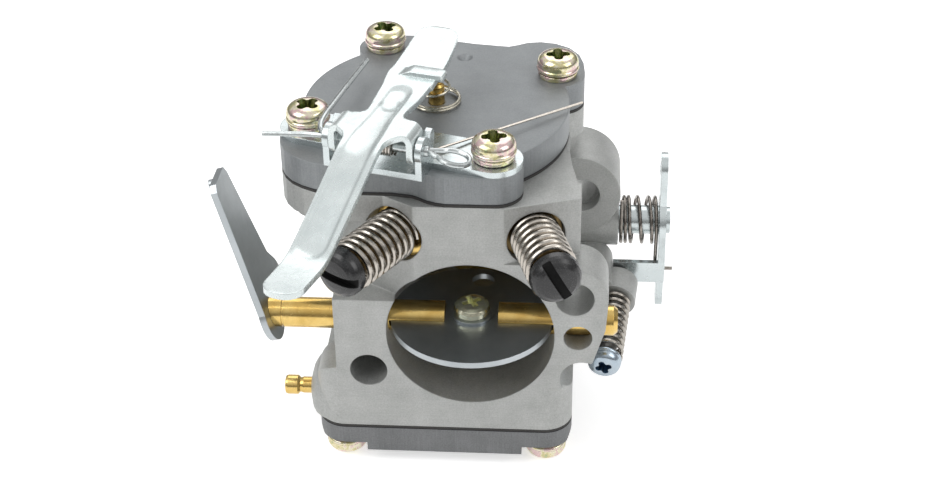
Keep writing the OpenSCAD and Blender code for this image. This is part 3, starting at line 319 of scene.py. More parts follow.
def pan_screw(diameter, height, shank, length, recess):
    """Pan head with a rolled rim, seated on Z = 0. The walls of its cross recess have slot 1."""
    r = diameter / 2
    rim = 0.5
    lead = 0.4
    profile = [(0, -length), (shank - lead, -length), (shank, -length + lead), (shank, 0), (r - rim, 0)]
    for step in range(8):
        angle = math.radians(-90 + 22 * step)
        profile.append((r - rim + rim * math.cos(angle), rim + rim * math.sin(angle)))
    profile += [(r * share, height * rise) for share, rise in dome]
    deep = height * 0.66 + 1
    wings = [recess_wing(recess, recess * 0.34, height + 1, deep, turn) for turn in (0, math.pi / 2)]
    floor = height * 0.3
    heart = lathe([(0, height + 0.5), (recess * 0.3, height + 0.5), (recess * 0.12, floor), (0, floor)], 24)
    made = carved(lathe(profile, 64), *wings, heart)
    # Faces on the recess walls take slot 1, which holds a dark colour painted as the shade in the recess.
    for face in made.faces:
        middle = face.calc_center_median()
        off = math.hypot(middle.x, middle.y)
        walls = recess * 0.13 < off < recess * 0.52 and 0 < middle.z < height * 0.93
        face.material_index = 1 if walls else 0
    return made


def split_washer(inner, outer, thickness):
    """Spring washer: one square turn with a cut, its ends a little apart."""
    made = bmesh.new()
    section = bmesh.ops.create_grid(made, x_segments=1, y_segments=1, size=0.5)["verts"]
    bmesh.ops.rotate(made, verts=section, cent=(0, 0, 0), matrix=Matrix.Rotation(math.pi / 2, 3, "X"))
    bmesh.ops.scale(made, verts=section, vec=(outer - inner, 1, thickness * 0.82))
    bmesh.ops.translate(made, verts=section, vec=((outer + inner) / 2, 0, thickness * 0.41))
    bmesh.ops.spin(
        made, geom=made.verts[:] + made.edges[:] + made.faces[:], cent=(0, 0, 0), axis=(0, 0, 1),
        dvec=(0, 0, thickness * 0.18 / 40), angle=math.radians(350), steps=40)
    bmesh.ops.holes_fill(made, edges=[e for e in made.edges if e.is_boundary])
    bmesh.ops.recalc_face_normals(made, faces=made.faces)
    rims = [e for e in made.edges if len(e.link_faces) == 2 and e.calc_face_angle() > 1.2]
    rounded(made, rims, 0.16, 2)
    return made


def gathered(shapes):
    """Puts several (bmesh, matrix) shapes in one bmesh."""
    whole = bmesh.new()
    for shape, matrix in shapes:
        mesh = bpy.data.meshes.new("part")
        bmesh.ops.transform(shape, matrix=matrix, verts=shape.verts)
        shape.to_mesh(mesh)
        shape.free()
        whole.from_mesh(mesh)
        bpy.data.meshes.remove(mesh)
    return whole


gasket_finish = gasket_paper("gasket_paper", (0.035, 0.034, 0.033), (0.075, 0.072, 0.068))
diaphragm_finish = gasket_paper("diaphragm_rubber", (0.012, 0.012, 0.013), (0.03, 0.03, 0.032))
chromate_finish = chromate(
    "yellow_chromate",
    (0.38, 0.45, 0.27), (0.62, 0.55, 0.30), (0.74, 0.70, 0.54), (0.66, 0.46, 0.46), (0.62, 0.62, 0.54))
# Dark green for the walls of the cross recesses: painted shade in the recess.
recess_painted_shade = chromate(
    "recess_chromate_painted_shade",
    (0.05, 0.08, 0.03), (0.12, 0.17, 0.05), (0.30, 0.30, 0.12), (0.10, 0.13, 0.05), (0.06, 0.07, 0.04))
screw_finishes = [chromate_finish, recess_painted_shade]
dress("pump_gasket", gasket_finish)
dress("pump_diaphragm", diaphragm_finish)
dress("pump_cover", cast_aluminium("cast_pump_cover", (0.15, 0.155, 0.158), (0.24, 0.245, 0.25), 1.0, 1.0))
head_width = 8.3
head_height = 3.3
shank_radius = 2.0
washer_size = (2.15, 3.85, 1.2)
low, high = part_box("pump_screws")
pump_seat = low.z / MM + head_height
pump_places = [
    (x, y) for x in (low.x / MM + head_width / 2, high.x / MM - head_width / 2)
    for y in (low.y / MM + head_width / 2, high.y / MM - head_width / 2)]
upside_down = Matrix.Rotation(math.pi, 4, "X")
screws = []
washers = []
for i, (x, y) in enumerate(pump_places):
    seat = Matrix.Translation((x, y, pump_seat)) @ upside_down
    screw = pan_screw(head_width, head_height, shank_radius, 9, 4.6)
    screws.append((screw, seat @ Matrix.Rotation(0.4 + i, 4, "Z")))
    washers.append((split_washer(*washer_size), seat @ upside_down @ Matrix.Rotation(1.3 * i, 4, "Z")))
add_piece("pump_cover_screws", gathered(screws), screw_finishes, "yellow_zinc", "housing", "pump_screws")
add_piece(
    "pump_split_washers", gathered(washers), [chromate_finish], "yellow_zinc", "housing", "pump_lock_washers")


# Fuel side inside the body: screen, seat, needle and rocking lever meter the fuel,
# which leaves through the nozzle in the venturi. Pressed plugs close the drillings.
def turned_brass(name, dark, light, polish=0.16):
    material, shader, place = new_finish(name, Metallic=1.0)
    stain = place.noise(0.3, 3, 0.55)
    feed(shader, "Base Color", stain.colours((0.35, dark), (0.65, light)))
    marks = place.noise(1.6, 4, 0.6)
    feed(shader, "Roughness", marks.steps(0.3, 0.75, polish, polish + 0.12))
    rounded_bump(shader, place, 0.12, marks, 0.006, 0.2)
    return material


def plated_steel(name, dark, light, polish=0.22, edge=0.15, metallic=0.9):
    """Zinc plate: a soft crystalline bloom and a few rub marks."""
    material, shader, place = new_finish(name, Metallic=metallic)
    bloom = place.noise(0.16, 3, 0.5) * 0.85 + place.noise(1.2, 3, 0.6) * 0.15
    feed(shader, "Base Color", bloom.colours((0.30, dark), (0.70, light)))
    rubs = place.noise(0.8, 2, 0.5)
    feed(shader, "Roughness", rubs.steps(0.32, 0.7, polish, polish + 0.06))
    rounded_bump(shader, place, edge, rubs, 0.005, 0.15)
    return material


def spring_steel(name, dark, light):
    material, shader, place = new_finish(name, Metallic=1.0)
    drawn = place.noise(1.2, 3, 0.55)
    feed(shader, "Base Color", drawn.colours((0.3, dark), (0.7, light)))
    feed(shader, "Roughness", drawn.steps(0.3, 0.7, 0.17, 0.28))
    rounded_bump(shader, place, 0.05, drawn, 0.004, 0.2)
    return material


class Wire:
    """Round wire made as on a spring machine: drawn along points, or wound round an axis."""

    def __init__(self, radius, start, heading, sides=10):
        self.made = bmesh.new()
        self.ring = bmesh.ops.create_circle(self.made, segments=sides, radius=radius)["verts"]
        self.here = Vector(start)
        self.heading = Vector(heading).normalized()
        turn = Vector((0, 0, 1)).rotation_difference(self.heading).to_matrix()
        bmesh.ops.rotate(self.made, verts=self.ring, cent=(0, 0, 0), matrix=turn)
        bmesh.ops.translate(self.made, verts=self.ring, vec=self.here)

    def end_edges(self):
        ends = set(self.ring)
        return [e for v in self.ring for e in v.link_edges if e.other_vert(v) in ends and e.verts[0] is v]

    def along(self, *points):
        points = [Vector(point) for point in points]
        for i, point in enumerate(points):
            step = (point - self.here).normalized()
            after = (points[i + 1] - point).normalized() if i + 1 < len(points) else step
            heading = (step + after).normalized()
            grown = bmesh.ops.extrude_edge_only(self.made, edges=self.end_edges())["geom"]
            self.ring = [v for v in grown if isinstance(v, bmesh.types.BMVert)]
            turn = self.heading.rotation_difference(heading).to_matrix()
            bmesh.ops.rotate(self.made, verts=self.ring, cent=self.here, matrix=turn)
            bmesh.ops.translate(self.made, verts=self.ring, vec=point - self.here)
            self.here = point
            self.heading = heading
        return self

    def wound(self, centre, axis, turns, rise, per_turn=28):
        axis = Vector(axis)
        steps = max(2, round(abs(turns) * per_turn))
        result = bmesh.ops.spin(
            self.made, geom=self.ring + self.end_edges(), cent=centre, axis=axis,
            dvec=axis * (rise / steps), angle=math.tau * turns, steps=steps)
        self.ring = [v for v in result["geom_last"] if isinstance(v, bmesh.types.BMVert)]
        turn = Matrix.Rotation(math.tau * turns, 3, axis)
        self.here = Vector(centre) + turn @ (self.here - Vector(centre)) + axis * rise
        self.heading = turn @ self.heading
        return self

    def shape(self):
        bmesh.ops.holes_fill(self.made, edges=[e for e in self.made.edges if e.is_boundary])
        bmesh.ops.recalc_face_normals(self.made, faces=self.made.faces)
        return self.made


def coil(radius, wire, low, high, turns, start=0.0):
    """Plain compression spring round Z."""
    begin = Vector((radius * math.cos(start), radius * math.sin(start), low))
    heading = Vector((-math.sin(start), math.cos(start), 0))
    return Wire(wire, begin, heading).wound((0, 0, low), (0, 0, 1), turns, high - low)


def bent(points, radius, steps=4):
    """Rounds the corners of a path with short curves."""
    points = [Vector(point) for point in points]
    path = [points[0]]
    for before, corner, after in zip(points, points[1:], points[2:]):
        reach = min(radius, (before - corner).length * 0.45, (after - corner).length * 0.45)
        first = corner + (before - corner).normalized() * reach
        last = corner + (after - corner).normalized() * reach
        for step in range(steps + 1):
            share = step / steps
            path.append(first.lerp(corner, share).lerp(corner.lerp(last, share), share))
    return path + [points[-1]]


def standing_on(joint):
    """Matrix in millimetres whose Z runs out along a joint's axis, from the joint's place."""
    out = Vector(joints[joint]["axis"])
    across = Vector((0, 0, 1)).cross(out).normalized()
    turn = Matrix((across, out.cross(across), out)).transposed().to_4x4()
    return Matrix.Translation(Vector(joints[joint]["pos_m"]) / MM) @ turn


brass_finish = turned_brass("aged_brass", (0.60, 0.40, 0.12), (0.72, 0.52, 0.19))
# A dark copy of the brass: painted shade for the brass down among the spring coils.
shaded_brass = turned_brass("brass_painted_dark_for_shade", (0.12, 0.085, 0.04), (0.20, 0.14, 0.06), 0.3)
zinc_finish = plated_steel("bright_zinc", (0.52, 0.57, 0.575), (0.63, 0.68, 0.685))
spring_finish = spring_steel("spring_wire", (0.40, 0.37, 0.33), (0.54, 0.50, 0.45))
# Dark plated steel. On the idle screw's shank it is painted shade, for the shade inside its spring.
dark_steel_and_shank_shade = plated_steel("dark_steel", (0.14, 0.14, 0.135), (0.22, 0.215, 0.205), 0.35)
for node in ("inlet_seat", "main_nozzle"):
    dress(node, brass_finish)
for node in ("inlet_screen", "metering_lever", "fulcrum_pin", "fulcrum_screw", "welch_plugs", "channel_plug"):
    dress(node, zinc_finish)
dress("inlet_needle", dark_steel_and_shank_shade)
dress("metering_spring", spring_finish)


# Metering side: a gasket, a rubber-coated diaphragm and a flat cover close the round
# bowl. The cover is a die casting with four ears, and its sides show drawing streaks.
dress("metering_gasket", gasket_finish)
dress("metering_diaphragm", diaphragm_finish)
dress("metering_cover", cast_aluminium("cast_cover", (0.225, 0.238, 0.246), (0.315, 0.33, 0.338), 0.6, 1.0))


# Choke: a turned brass shaft carries a zinc-plated plate, held by one screw, and a
# sheet lever is riveted at a lean on its left end.
dress("choke_shaft", brass_finish)
# A darker copy of the zinc plate: painted shade for the plate in the bore and the lever's shaded face.
choke_zinc_painted_shade = plated_steel("choke_zinc_painted_shade", (0.38, 0.41, 0.425), (0.46, 0.49, 0.505), 0.3)
dress("choke_plate", choke_zinc_painted_shade)
dress("choke_screw_washer", choke_zinc_painted_shade)
pale_chromate = chromate(
    "pale_chromate",
    (0.74, 0.78, 0.54), (0.84, 0.85, 0.58), (0.90, 0.90, 0.70), (0.86, 0.82, 0.62), (0.80, 0.82, 0.66))
dress("choke_plate_screw", pale_chromate)
dress("choke_lever", choke_zinc_painted_shade)


# Throttle: steel shaft with a brass plate in the bore, a clip at the left end, and
# the lever and its return spring on the right end.
dress("throttle_shaft", zinc_finish)
dress("throttle_plate", brass_finish)
dress("throttle_plate_screw", chromate_finish)
dress("throttle_shaft_clip", dark_steel_and_shank_shade)
dress("throttle_lever", zinc_finish)
return_radius = 4.75
return_wire = 0.37
leg_height = return_radius + 2.6
lever_face = 36.4
throttle_line = Vector((0, joints["throttle_turn"]["pos_m"][1] / MM, 0))
first_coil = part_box("throttle_return_spring")[0].x / MM + 0.5
last_coil = lever_face - 0.55
spring_axis = Vector((1, 0, 0))
front_line = throttle_line + Vector((0, -return_radius, 0))
start = front_line + Vector((first_coil, 0, 0))
centre = throttle_line + Vector((first_coil, 0, 0))
return_spring = Wire(return_wire, start + Vector((0, 0, leg_height)), (0, 0, -1))
return_spring.along(start + Vector((0, 0, 0.8)), start)
for turns, rise in ((2, 1.8), (2, last_coil - first_coil - 2.7), (1, 0.9)):
    return_spring.wound(centre, spring_axis, turns, rise)
hook = ((0, -7.9), (0.25, -8.5), (0.9, -8.8), (2.6, -8.8), (3.6, -8.8))
return_spring.along(*[front_line + Vector((last_coil + out, 0, drop)) for out, drop in hook])
throttle_wire = spring_steel("dark_spring_wire", (0.16, 0.145, 0.13), (0.34, 0.31, 0.28))
return_spring = return_spring.shape()
add_piece(
    "throttle_spring", return_spring, [throttle_wire], "spring_wire", "housing", "throttle_return_spring")


# Idle speed screw: steel with a blue chromated pan head, set from the front. The
# spring behind its head keeps it from turning.
blue_finish = plated_steel("blue_zinc", (0.32, 0.39, 0.46), (0.50, 0.56, 0.60), 0.2)
# Dark blue for the walls of the idle screw's cross recess: painted shade in the recess.
blue_recess_painted_shade = plated_steel("blue_recess_painted_shade", (0.06, 0.12, 0.20), (0.14, 0.22, 0.32), 0.3)
idle_place = standing_on("idle_screw_turn")
idle_seat = 24.4
idle_head = pan_screw(6.7, 2.8, 2.0, idle_seat - 0.3, 4.0)
idle = gathered([(idle_head, Matrix.Translation((0, 0, idle_seat)) @ Matrix.Rotation(0.35, 4, "Z"))])
# The shank faces take slot 2, painted dark as the shade inside the spring.
for face in idle.faces:
    if face.calc_center_median().z < idle_seat - 0.2:
        face.material_index = 2
bmesh.ops.transform(idle, matrix=idle_place, verts=idle.verts)
idle_finishes = [blue_finish, blue_recess_painted_shade, dark_steel_and_shank_shade]
add_piece("idle_speed_screw", idle, idle_finishes, "blue_zinc", "idle_adjuster", "idle_screw")
idle_spring = {"radius": 3.05, "wire": 0.45, "low": 9.08, "high": 23.92, "turns": 9}
idle_coil = coil(**idle_spring).shape()
bmesh.ops.transform(idle_coil, matrix=idle_place, verts=idle_coil.verts)
idle_wire = spring_steel("idle_wire", (0.30, 0.28, 0.25), (0.44, 0.41, 0.37))
add_piece("idle_screw_spring", idle_coil, [idle_wire], "spring_wire", "housing", "idle_spring")


# Mixture screws: brass needles with moulded plastic caps; a spring between cap and
# brass washer keeps each one where it is set.
def moulded_plastic(name, dark, light, stand, slot_turn, slot_floor):
    """Glossy black moulding, with its screwdriver slot painted near black as the shade in it."""
    material, shader, place = new_finish(name)
    grain = place.noise(2.5, 4, 0.65)
    turn = math.radians(slot_turn)
    reaches = []
    for line in (Vector((-math.sin(turn), math.cos(turn), 0)), Vector((0, 0, 1))):
        line = stand.to_3x3() @ line
        reach = place.node("VectorMath", {"operation": "DOT_PRODUCT"}, {0: place, 1: line}, output="Value")
        reaches.append(reach - line.dot(stand.translation))
    off = place.node("Math", {"operation": "ABSOLUTE"}, {0: reaches[0]})
    # Painted shade: the slot's walls and floor are made near black, more metallic and rougher.
    slot = off.steps(0.84, 0.9, 1.0, 0.0) * reaches[1].steps(slot_floor - 0.3, slot_floor - 0.2)
    unshaded_plastic = grain.colours((0.35, dark), (0.65, light))
    feed(shader, "Base Color", slot.blend(unshaded_plastic, (0.01, 0.01, 0.01, 1)))
    feed(shader, "Metallic", slot * 0.8)
    feed(shader, "Roughness", grain.steps(0.3, 0.7, 0.2, 0.3) + slot * 0.4)
    rounded_bump(shader, place, 0.25, grain, 0.012, 0.2)
    return material


mixture_radius = 4.25
mixture_wire = 0.6
for side in ("high", "low"):
    # The needles, and the high side's washer, take the dark brass as painted shade; the low side's washer
    # stays plain brass.
    dress(side + "_needle", shaded_brass)
    dress(side + "_needle_washer", shaded_brass if side == "high" else brass_finish)
    reach, turns, slot_turn = (11.9, 7, 118) if side == "high" else (14.1, 8.5, -4)
    spring = coil(mixture_radius, mixture_wire, -1.08, reach - mixture_wire - 0.02, turns).shape()
    stand = standing_on(side + "_needle_turn")
    bmesh.ops.transform(spring, matrix=stand, verts=spring.verts)
    add_piece(
        side + "_mixture_spring", spring, [spring_finish], "spring_wire", "housing", side + "_needle_spring")
    cap_finish = moulded_plastic(
        side + "_cap_plastic", (0.020, 0.020, 0.021), (0.026, 0.026, 0.027), stand, slot_turn, reach + 2.3)
    dress(side + "_needle_cap", cap_finish)


# Fuel inlet: a short barb turned from brass rod and pressed into the pump base. A
# fuel hose is pushed over its bead.
dress("fuel_inlet", brass_finish)


# Primer pin: turned brass, free to slide in the cover over the diaphragm. A conical
# spring of nickel-plated wire stands round it.
dress("primer_pin", brass_finish)
pin_line = Vector(joints["tickler_slide"]["pos_m"]) / MM
cover_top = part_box("metering_cover")[1].z / MM
bracket_sheet = 1.2
plate_seat = cover_top + bracket_sheet
cone_line = ((0, 4.5, 0.28), (1.5, 4.4, 1.0), (2.5, 2.4, 3.6), (3.5, 1.75, 6.0))


def cone_point(turns):
    """Where the wire of the cone spring is after so many turns."""
    for (t0, r0, z0), (t1, r1, z1) in zip(cone_line, cone_line[1:]):
        if turns <= t1:
            share = (turns - t0) / (t1 - t0)
            break
    angle = math.radians(200) + math.tau * turns
    radius = r0 + (r1 - r0) * share
    return Vector((radius * math.cos(angle), radius * math.sin(angle), cover_top + z0 + (z1 - z0) * share))


cone_path = [cone_point(i / 28) for i in range(99)]
cone_wire = 0.27
cone = Wire(cone_wire, cone_path[0], cone_path[1] - cone_path[0], 8).along(*cone_path[1:]).shape()
bmesh.ops.translate(cone, verts=cone.verts, vec=(pin_line.x, pin_line.y, 0))
nickel_finish = spring_steel("nickel_wire", (0.50, 0.47, 0.38), (0.74, 0.70, 0.60))
add_piece("primer_cone_spring", cone, [nickel_finish], "spring_wire", "housing", "primer_spring")


# Lever bracket: a strip of zinc-plated sheet, pressed to two upright ears for the
# pivot pin, and clamped under the two front cover screws.
dress("lever_bracket", zinc_finish)


# Primer lever: one strip pressed from zinc-plated sheet, with a groove along its arm, two
# ears folded down to the pivot, and a tongue cut free and raised over the primer pin.
def smooth_share(value, low, high):
    share = min(1.0, max(0.0, (value - low) / (high - low)))
    return share * share * (3 - 2 * share)


def drop(edge):
    return abs(edge.verts[0].co.z - edge.verts[1].co.z)


def level_edges(made):
    return [e for e in made.edges if drop(e) < 0.01]


def sheet_blank(outline, thickness, rim):
    """Flat blank lying on Z = 0. The outline is (x, y, corner radius), and the edges are broken."""
    blank = bmesh.new()
    blank.faces.new([blank.verts.new((x, y, 0)) for x, y, _ in outline])
    for x, y, corner in outline:
        near = min(blank.verts, key=lambda vert: (vert.co - Vector((x, y, 0))).length)
        rounded(blank, [near], corner, 5, "VERTICES")
    raised = bmesh.ops.extrude_face_region(blank, geom=blank.faces[:])["geom"]
    bmesh.ops.translate(
        blank, verts=[v for v in raised if isinstance(v, bmesh.types.BMVert)], vec=(0, 0, thickness))
    bmesh.ops.recalc_face_normals(blank, faces=blank.faces)
    rounded(blank, level_edges(blank), rim, 2)
    return blank


def scored(made, axis, low, high, step):
    """Cuts a shape across into narrow strips, so that it bends smoothly."""
    count = round((high - low) / step)
    normal = Vector((0, 0, 0))
    normal[axis] = 1
    for i in range(1, count):
        bmesh.ops.bisect_plane(
            made, geom=made.verts[:] + made.edges[:] + made.faces[:], dist=0.01,
            plane_co=normal * (low + (high - low) * i / count), plane_no=normal)
    return made


def block(low, high):
    made = bmesh.new()
    bmesh.ops.create_cube(made, size=1)
    size = [b - a for a, b in zip(low, high)]
    bmesh.ops.scale(made, verts=made.verts, vec=size)
    bmesh.ops.translate(made, verts=made.verts, vec=[(a + b) / 2 for a, b in zip(low, high)])
    return made


def folded_down(point, fold, radius, thickness):
    """Folds what lies further out than fold, on either side, down through a right angle."""
    out = abs(point.x) - fold
    if out <= 0:
        return
    reach = radius + point.z - thickness / 2
    turn = min(out / radius, math.pi / 2)
    straight = max(0.0, out - radius * math.pi / 2)
    point.x = math.copysign(fold + reach * math.sin(turn), point.x)
    point.z = thickness / 2 - radius + reach * math.cos(turn) - straight


def line_height(line, reach):
    for (y0, z0), (y1, z1) in zip(line, line[1:]):
        if reach <= y1:
            return z0 + (z1 - z0) * (reach - y0) / (y1 - y0)
    return line[-1][1]


lever_sheet = 1.2
lever_line = (
    (-44, -5.2), (-42.2, -5.4), (-37.6, -5.9), (-31.4, -6.4), (-28.2, -5.6), (-15, 0.6),
    (-8.4, 3.2), (-4, 3.5), (11, 3.5), (17, 4.3), (36.1, 5.3), (39, 5.4))
lever_right = [
    (2.9, -42.2, 3.1), (2.9, -37, 2), (3.1, -28, 3), (4, -14, 3), (4, -5, 1.5), (5.6, -3.4, 0.8),
    (6.3, -2.8, 0.4), (12.9, -2.8, 2.4), (12.9, 2.8, 2.4), (5.4, 2.7, 0.5), (3.8, 3.5, 0.9), (3.8, 6, 1),
    (4.3, 9, 1), (4.9, 15.1, 0.6), (5.2, 15.3, 0.05), (5.2, 20, 0.05), (5.2, 23, 2), (4.6, 28.5, 3),
    (3.3, 36.2, 3.0)]
lever_left = [
    (-4.5, 36.2, 3.0), (-4.1, 24, 3), (-4.0, 20.5, 1.2), (-4.4, 17.4, 1.5), (-3.8, 13.6, 1.5),
    (-3.6, 9, 1.5), (-3.1, 5.6, 1), (-3.1, 3.6, 0.9), (-4.6, 2.7, 0.5), (-12.9, 2.8, 2.4),
    (-12.9, -2.8, 2.4), (-6.3, -2.8, 0.4), (-5.6, -3.4, 0.8), (-3.6, -5, 1.5), (-3.4, -14, 3),
    (-4.1, -28, 3), (-4.1, -37, 2), (-4.0, -42.2, 3.1)]
front_end, rear_end, ear_end = -42.2, 36.2, 12.9
ear_fold = 6.0
ear_bend = 1.4
groove_ends = (-27.5, 11.5)
groove_wall, groove_hollow, dimple_depth = 0.32, 0.26, 0.2
dimple = Vector((0, 7.6))


def groove_sink(x, y):
    """How deep the groove and its dimple lie at a place of the flat blank."""
    half = 2.9 - 0.6 * smooth_share(y, -6, 3)
    middle = -0.6 + 0.7 * smooth_share(y, -30, -10)
    nearest = Vector((middle, min(groove_ends[1], max(groove_ends[0], y))))
    off = (Vector((x, y)) - nearest).length / half
    sink = groove_wall * smooth_share(off, 1.04, 0.74) + groove_hollow * max(0.0, 1 - off * off)
    return sink + dimple_depth * smooth_share((Vector((x, y)) - dimple).length, 1.9, 1.3)


slot = block((-2.3, 14.95, -1), (9, 16.9, 3))
rounded(slot, [e for e in slot.edges if drop(e) > 1 and e.verts[0].co.x < 0], 0.8, 5)
opening = block((-1.0, 16.8, -1), (9, 20.0, 3))
lever = carved(sheet_blank(lever_right + lever_left, lever_sheet, 0.22), slot, opening)
lever = scored(scored(lever, 1, front_end, rear_end, 0.6), 0, -ear_end, ear_end, 0.3)
for vert in lever.verts:
    x, y, _ = vert.co
    sink = groove_sink(x, y)
    folded_down(vert.co, ear_fold, ear_bend, lever_sheet)
    rise = sum(line_height(lever_line, y + offset) for offset in (-1.8, -0.9, 0, 0.9, 1.8)) / 5
    if abs(x) > ear_fold:
        rise = 3.5
    vert.co.z += rise - lever_sheet / 2 - sink
tongue_left, tongue_right = -2.4, 6.5
tongue = block((tongue_left, 16.95, 0), (tongue_right, 19.95, lever_sheet + 0.1))
rounded(tongue, [e for e in tongue.edges if drop(e) > 1], 0.5, 3)
rounded(tongue, level_edges(tongue), 0.28, 3)
tongue = scored(tongue, 0, tongue_left, tongue_right, 0.25)
tongue_seat = line_height(lever_line, 18) - lever_sheet / 2 - 0.25
for vert in tongue.verts:
    lift = 1.05 * smooth_share(vert.co.x, -2.6, 0.5) - 0.4 * smooth_share(vert.co.x, 5.2, 7.2)
    vert.co.z += tongue_seat + lift
swing = joints["lever_swing"]
across = -Vector(swing["axis"])
pivot_frame = Matrix((across, Vector((0, 0, 1)).cross(across), (0, 0, 1))).transposed().to_4x4()
pivot_frame = Matrix.Translation(Vector(swing["pos_m"]) / MM) @ pivot_frame
lever_finish = plated_steel("lever_zinc", (0.62, 0.68, 0.68), (0.72, 0.775, 0.77), 0.24, metallic=0.65)
pin_hole = lathe([(0, -20), (1.05, -20), (1.05, 20), (0, 20)], 32)
sideways = Matrix.Rotation(math.pi / 2, 3, "Y")
bmesh.ops.rotate(pin_hole, verts=pin_hole.verts, cent=(0, 0, 0), matrix=sideways)
lever = gathered([(carved(lever, pin_hole), Matrix()), (tongue, Matrix())])
bmesh.ops.transform(lever, matrix=pivot_frame, verts=lever.verts)
add_piece(
    "primer_hand_lever", lever, [lever_finish], "bright_zinc", "hand_lever", "primer_lever", crease=40.0)


# Pivot pin: one bent wire through the ears, its right end an eye and its left end two
# tails that keep it from sliding out. The torsion spring sits on it.
def arc(centre, reach, start, end, tilt=0.0, steps=14):
    points = []
    for step in range(steps + 1):
        angle = math.radians(start + (end - start) * step / steps)
        across, along = math.cos(angle), math.sin(angle)
        points.append(Vector(centre) + Vector((reach[0] * across, reach[1] * along, -tilt * (1 + across))))
    return points


def bent_wire(radius, points, bend):
    path = bent(points, bend)
    return Wire(radius, path[0], path[1] - path[0]).along(*path[1:]).shape()


eye = [(9.7, -0.25, 0.1), *arc((14.8, 0, 0), (2.9, 2.31), -150, 150, 0.45), (9.7, 0.3, 0.1)]
straight_tail = ((-9.4, 0, -0.2), (-13.2, -0.3, -0.35), (-21.1, -2.3, -0.5))
raised_tail = (
    (-9.4, 0, 0.4), (-10.8, 0.3, 0.6), (-11.5, 2, 1), (-11.9, 5, 1.1), (-13.2, 18, 0), (-14.7, 32.1, -1.5))
shank_end = 10.2
shank_thickness = 1.0
tail_wire = 0.5
shank = Wire(shank_thickness, (-shank_end, 0, 0), (1, 0, 0), 20).along((shank_end, 0, 0)).shape()
rounded(shank, [e for e in shank.edges if abs(e.verts[0].co.x - e.verts[1].co.x) < 0.01], 0.35, 3)
tails = [bent_wire(tail_wire, path, bend=1.2) for path in (eye, straight_tail, raised_tail)]
pin = gathered([(shape, Matrix()) for shape in (shank, *tails)])
bmesh.ops.transform(pin, matrix=pivot_frame, verts=pin.verts)
pin_finish = spring_steel("plated_wire", (0.42, 0.45, 0.45), (0.58, 0.61, 0.61))
add_piece("lever_pivot_pin", pin, [pin_finish], "bright_zinc", "housing", "pivot_pin")
torsion_wire = 0.25
torsion = Wire(torsion_wire, (1.2, 6.4, 2.3), (0, -1, 0))
torsion.along((1.2, 3.4, 2.2), (1.2, 1.75, 0.6), (1.2, 1.75, 0))
torsion.wound((1.2, 0, 0), (1, 0, 0), -4.25, 2.4)
torsion.along((4.2, 2.6, 0.3), (5.2, 3.5, -1.6), (8.2, 4.8, -3), (28.65, 33.3, -4.3))
torsion = torsion.shape()
bmesh.ops.transform(torsion, matrix=pivot_frame, verts=torsion.verts)
add_piece("lever_spring", torsion, [spring_finish], "spring_wire", "housing", "lever_torsion_spring")


# Cover screws: pan heads with a cross recess and split washers, yellow chromated. The two
# front ones also clamp the lever bracket.
half_span = 18.3
turn = math.radians(-17)
seats = (plate_seat, plate_seat, cover_top, cover_top)
screws = []
washers = []
for i, (x, y) in enumerate(((1, -1), (-1, -1), (-1, 1), (1, 1))):
    corner = pin_line + Matrix.Rotation(turn, 3, "Z") @ Vector((x * half_span, y * half_span, 0))
    seat = Matrix.Translation((corner.x, corner.y, seats[i]))
    spot = Matrix.Rotation(math.radians((10, 52, 35, 5)[i]), 4, "Z")
    screw = pan_screw(head_width, head_height, shank_radius, 13.4, 5.5)
    screws.append((screw, seat @ Matrix.Translation((0, 0, washer_size[2])) @ spot))
    washers.append((split_washer(*washer_size), seat @ Matrix.Rotation(1.2 * i, 4, "Z")))
add_piece("cover_pan_screws", gathered(screws), screw_finishes, "yellow_zinc", "housing", "cover_screws")
washers = gathered(washers)
add_piece("cover_split_washers", washers, [chromate_finish], "yellow_zinc", "housing", "cover_lock_washers")


# Studio: a white floor that keeps the object's shadow, a white surround, three soft
# lamps, and the camera in front, above and a little to the right.
def sight(tree):
    """Switches for what the camera, a mirror and glass see. All are 0 for what only lights a surface."""
    paths = tree.nodes.new("ShaderNodeLightPath")
    kinds = ("Is Camera Ray", "Is Glossy Ray", "Is Transmission Ray")
    return [Flow(tree, paths.outputs[kind]) for kind in kinds]


def studio_floor(height, reach, glow):
    mesh = bpy.data.meshes.new("floor")
    plane = bmesh.new()
    bmesh.ops.create_grid(plane, x_segments=1, y_segments=1, size=reach)
    bmesh.ops.translate(plane, verts=plane.verts, vec=(0, 0, height))
    plane.to_mesh(mesh)
    plane.free()
    floor = bpy.data.objects.new("floor", mesh)
    bpy.context.scene.collection.objects.link(floor)
    material = bpy.data.materials.new("floor_paper")
    material.use_nodes = True
    tree = material.node_tree
    shader = tree.nodes["Principled BSDF"]
    shader.inputs["Base Color"].default_value = (0.93, 0.93, 0.93, 1)
    shader.inputs["Roughness"].default_value = 0.9
    shader.inputs["Emission Strength"].default_value = 1.0
    camera, mirror, glass = sight(tree)
    level = (camera + mirror + glass).steps(0.0, 1.0, 0.0, glow)
    feed(shader, "Emission Color", level.colours((0.0, (0, 0, 0)), (1.0, (1, 1, 1))))
    mesh.materials.append(material)


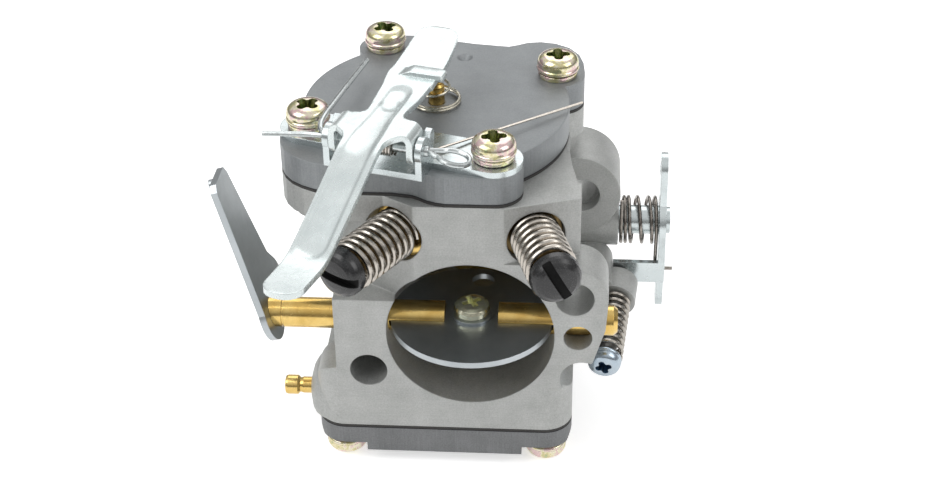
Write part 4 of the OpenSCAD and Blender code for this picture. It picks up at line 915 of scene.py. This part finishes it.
def soft_lamp(name, place, target, width, watts):
    data = bpy.data.lights.new(name, "AREA")
    data.shape = "SQUARE"
    data.size = width
    data.energy = watts
    lamp = bpy.data.objects.new(name, data)
    bpy.context.scene.collection.objects.link(lamp)
    lamp.location = place
    lamp.rotation_euler = (Vector(target) - Vector(place)).to_track_quat("-Z", "Y").to_euler()


def white_surround(lamp_level, horizon, zenith):
    """White to the camera; in metal it darkens towards the horizon, as a room does."""
    world = bpy.data.worlds.new("surround")
    bpy.context.scene.world = world
    world.use_nodes = True
    tree = world.node_tree
    background = tree.nodes["Background"]
    background.inputs["Color"].default_value = (1, 1, 1, 1)
    way = Flow(tree, tree.nodes.new("ShaderNodeTexCoord").outputs["Generated"])
    room = way.along(2).steps(0.05, 0.8, horizon, zenith)
    camera, mirror, glass = sight(tree)
    unseen = 1 - (camera + mirror + glass)
    strength = camera + mirror * room + unseen * lamp_level + glass
    tree.links.new(strength.socket, background.inputs["Strength"])


def place_camera(place, yaw, pitch, roll, lens):
    forward = Vector((math.sin(yaw) * math.cos(pitch), math.cos(yaw) * math.cos(pitch), -math.sin(pitch)))
    right = Vector((math.cos(yaw), -math.sin(yaw), 0))
    up = right.cross(forward)
    across = math.cos(roll) * right + math.sin(roll) * up
    above = math.cos(roll) * up - math.sin(roll) * right
    data = bpy.data.cameras.new("camera")
    data.lens = lens
    data.sensor_width = 36
    data.clip_start = 0.01
    data.clip_end = 20
    camera = bpy.data.objects.new("camera", data)
    turn = Matrix((across, above, -forward)).transposed().to_4x4()
    camera.matrix_world = Matrix.Translation(place) @ turn
    bpy.context.scene.collection.objects.link(camera)
    bpy.context.scene.camera = camera


studio_floor(height=cad_box[0][2] - 0.0001, reach=3.0, glow=0.56)
aim = (0, 0.02, 0)
soft_lamp("lamp_left", (-0.40, -0.20, 0.50), aim, width=0.45, watts=1.7)
soft_lamp("lamp_right", (0.45, -0.15, 0.40), aim, width=0.35, watts=0.9)
soft_lamp("lamp_back", (0.05, 0.5, 0.5), aim, width=0.5, watts=1.0)
white_surround(lamp_level=0.42, horizon=0.22, zenith=0.9)
yaw, pitch, roll = (math.radians(degrees) for degrees in (-4.30, 33.02, -0.94))
place_camera(Vector((19.11, -262.87, 192.29)) * MM, yaw, pitch, roll, lens=67.1)

bpy.context.scene.view_settings.view_transform = "Standard"
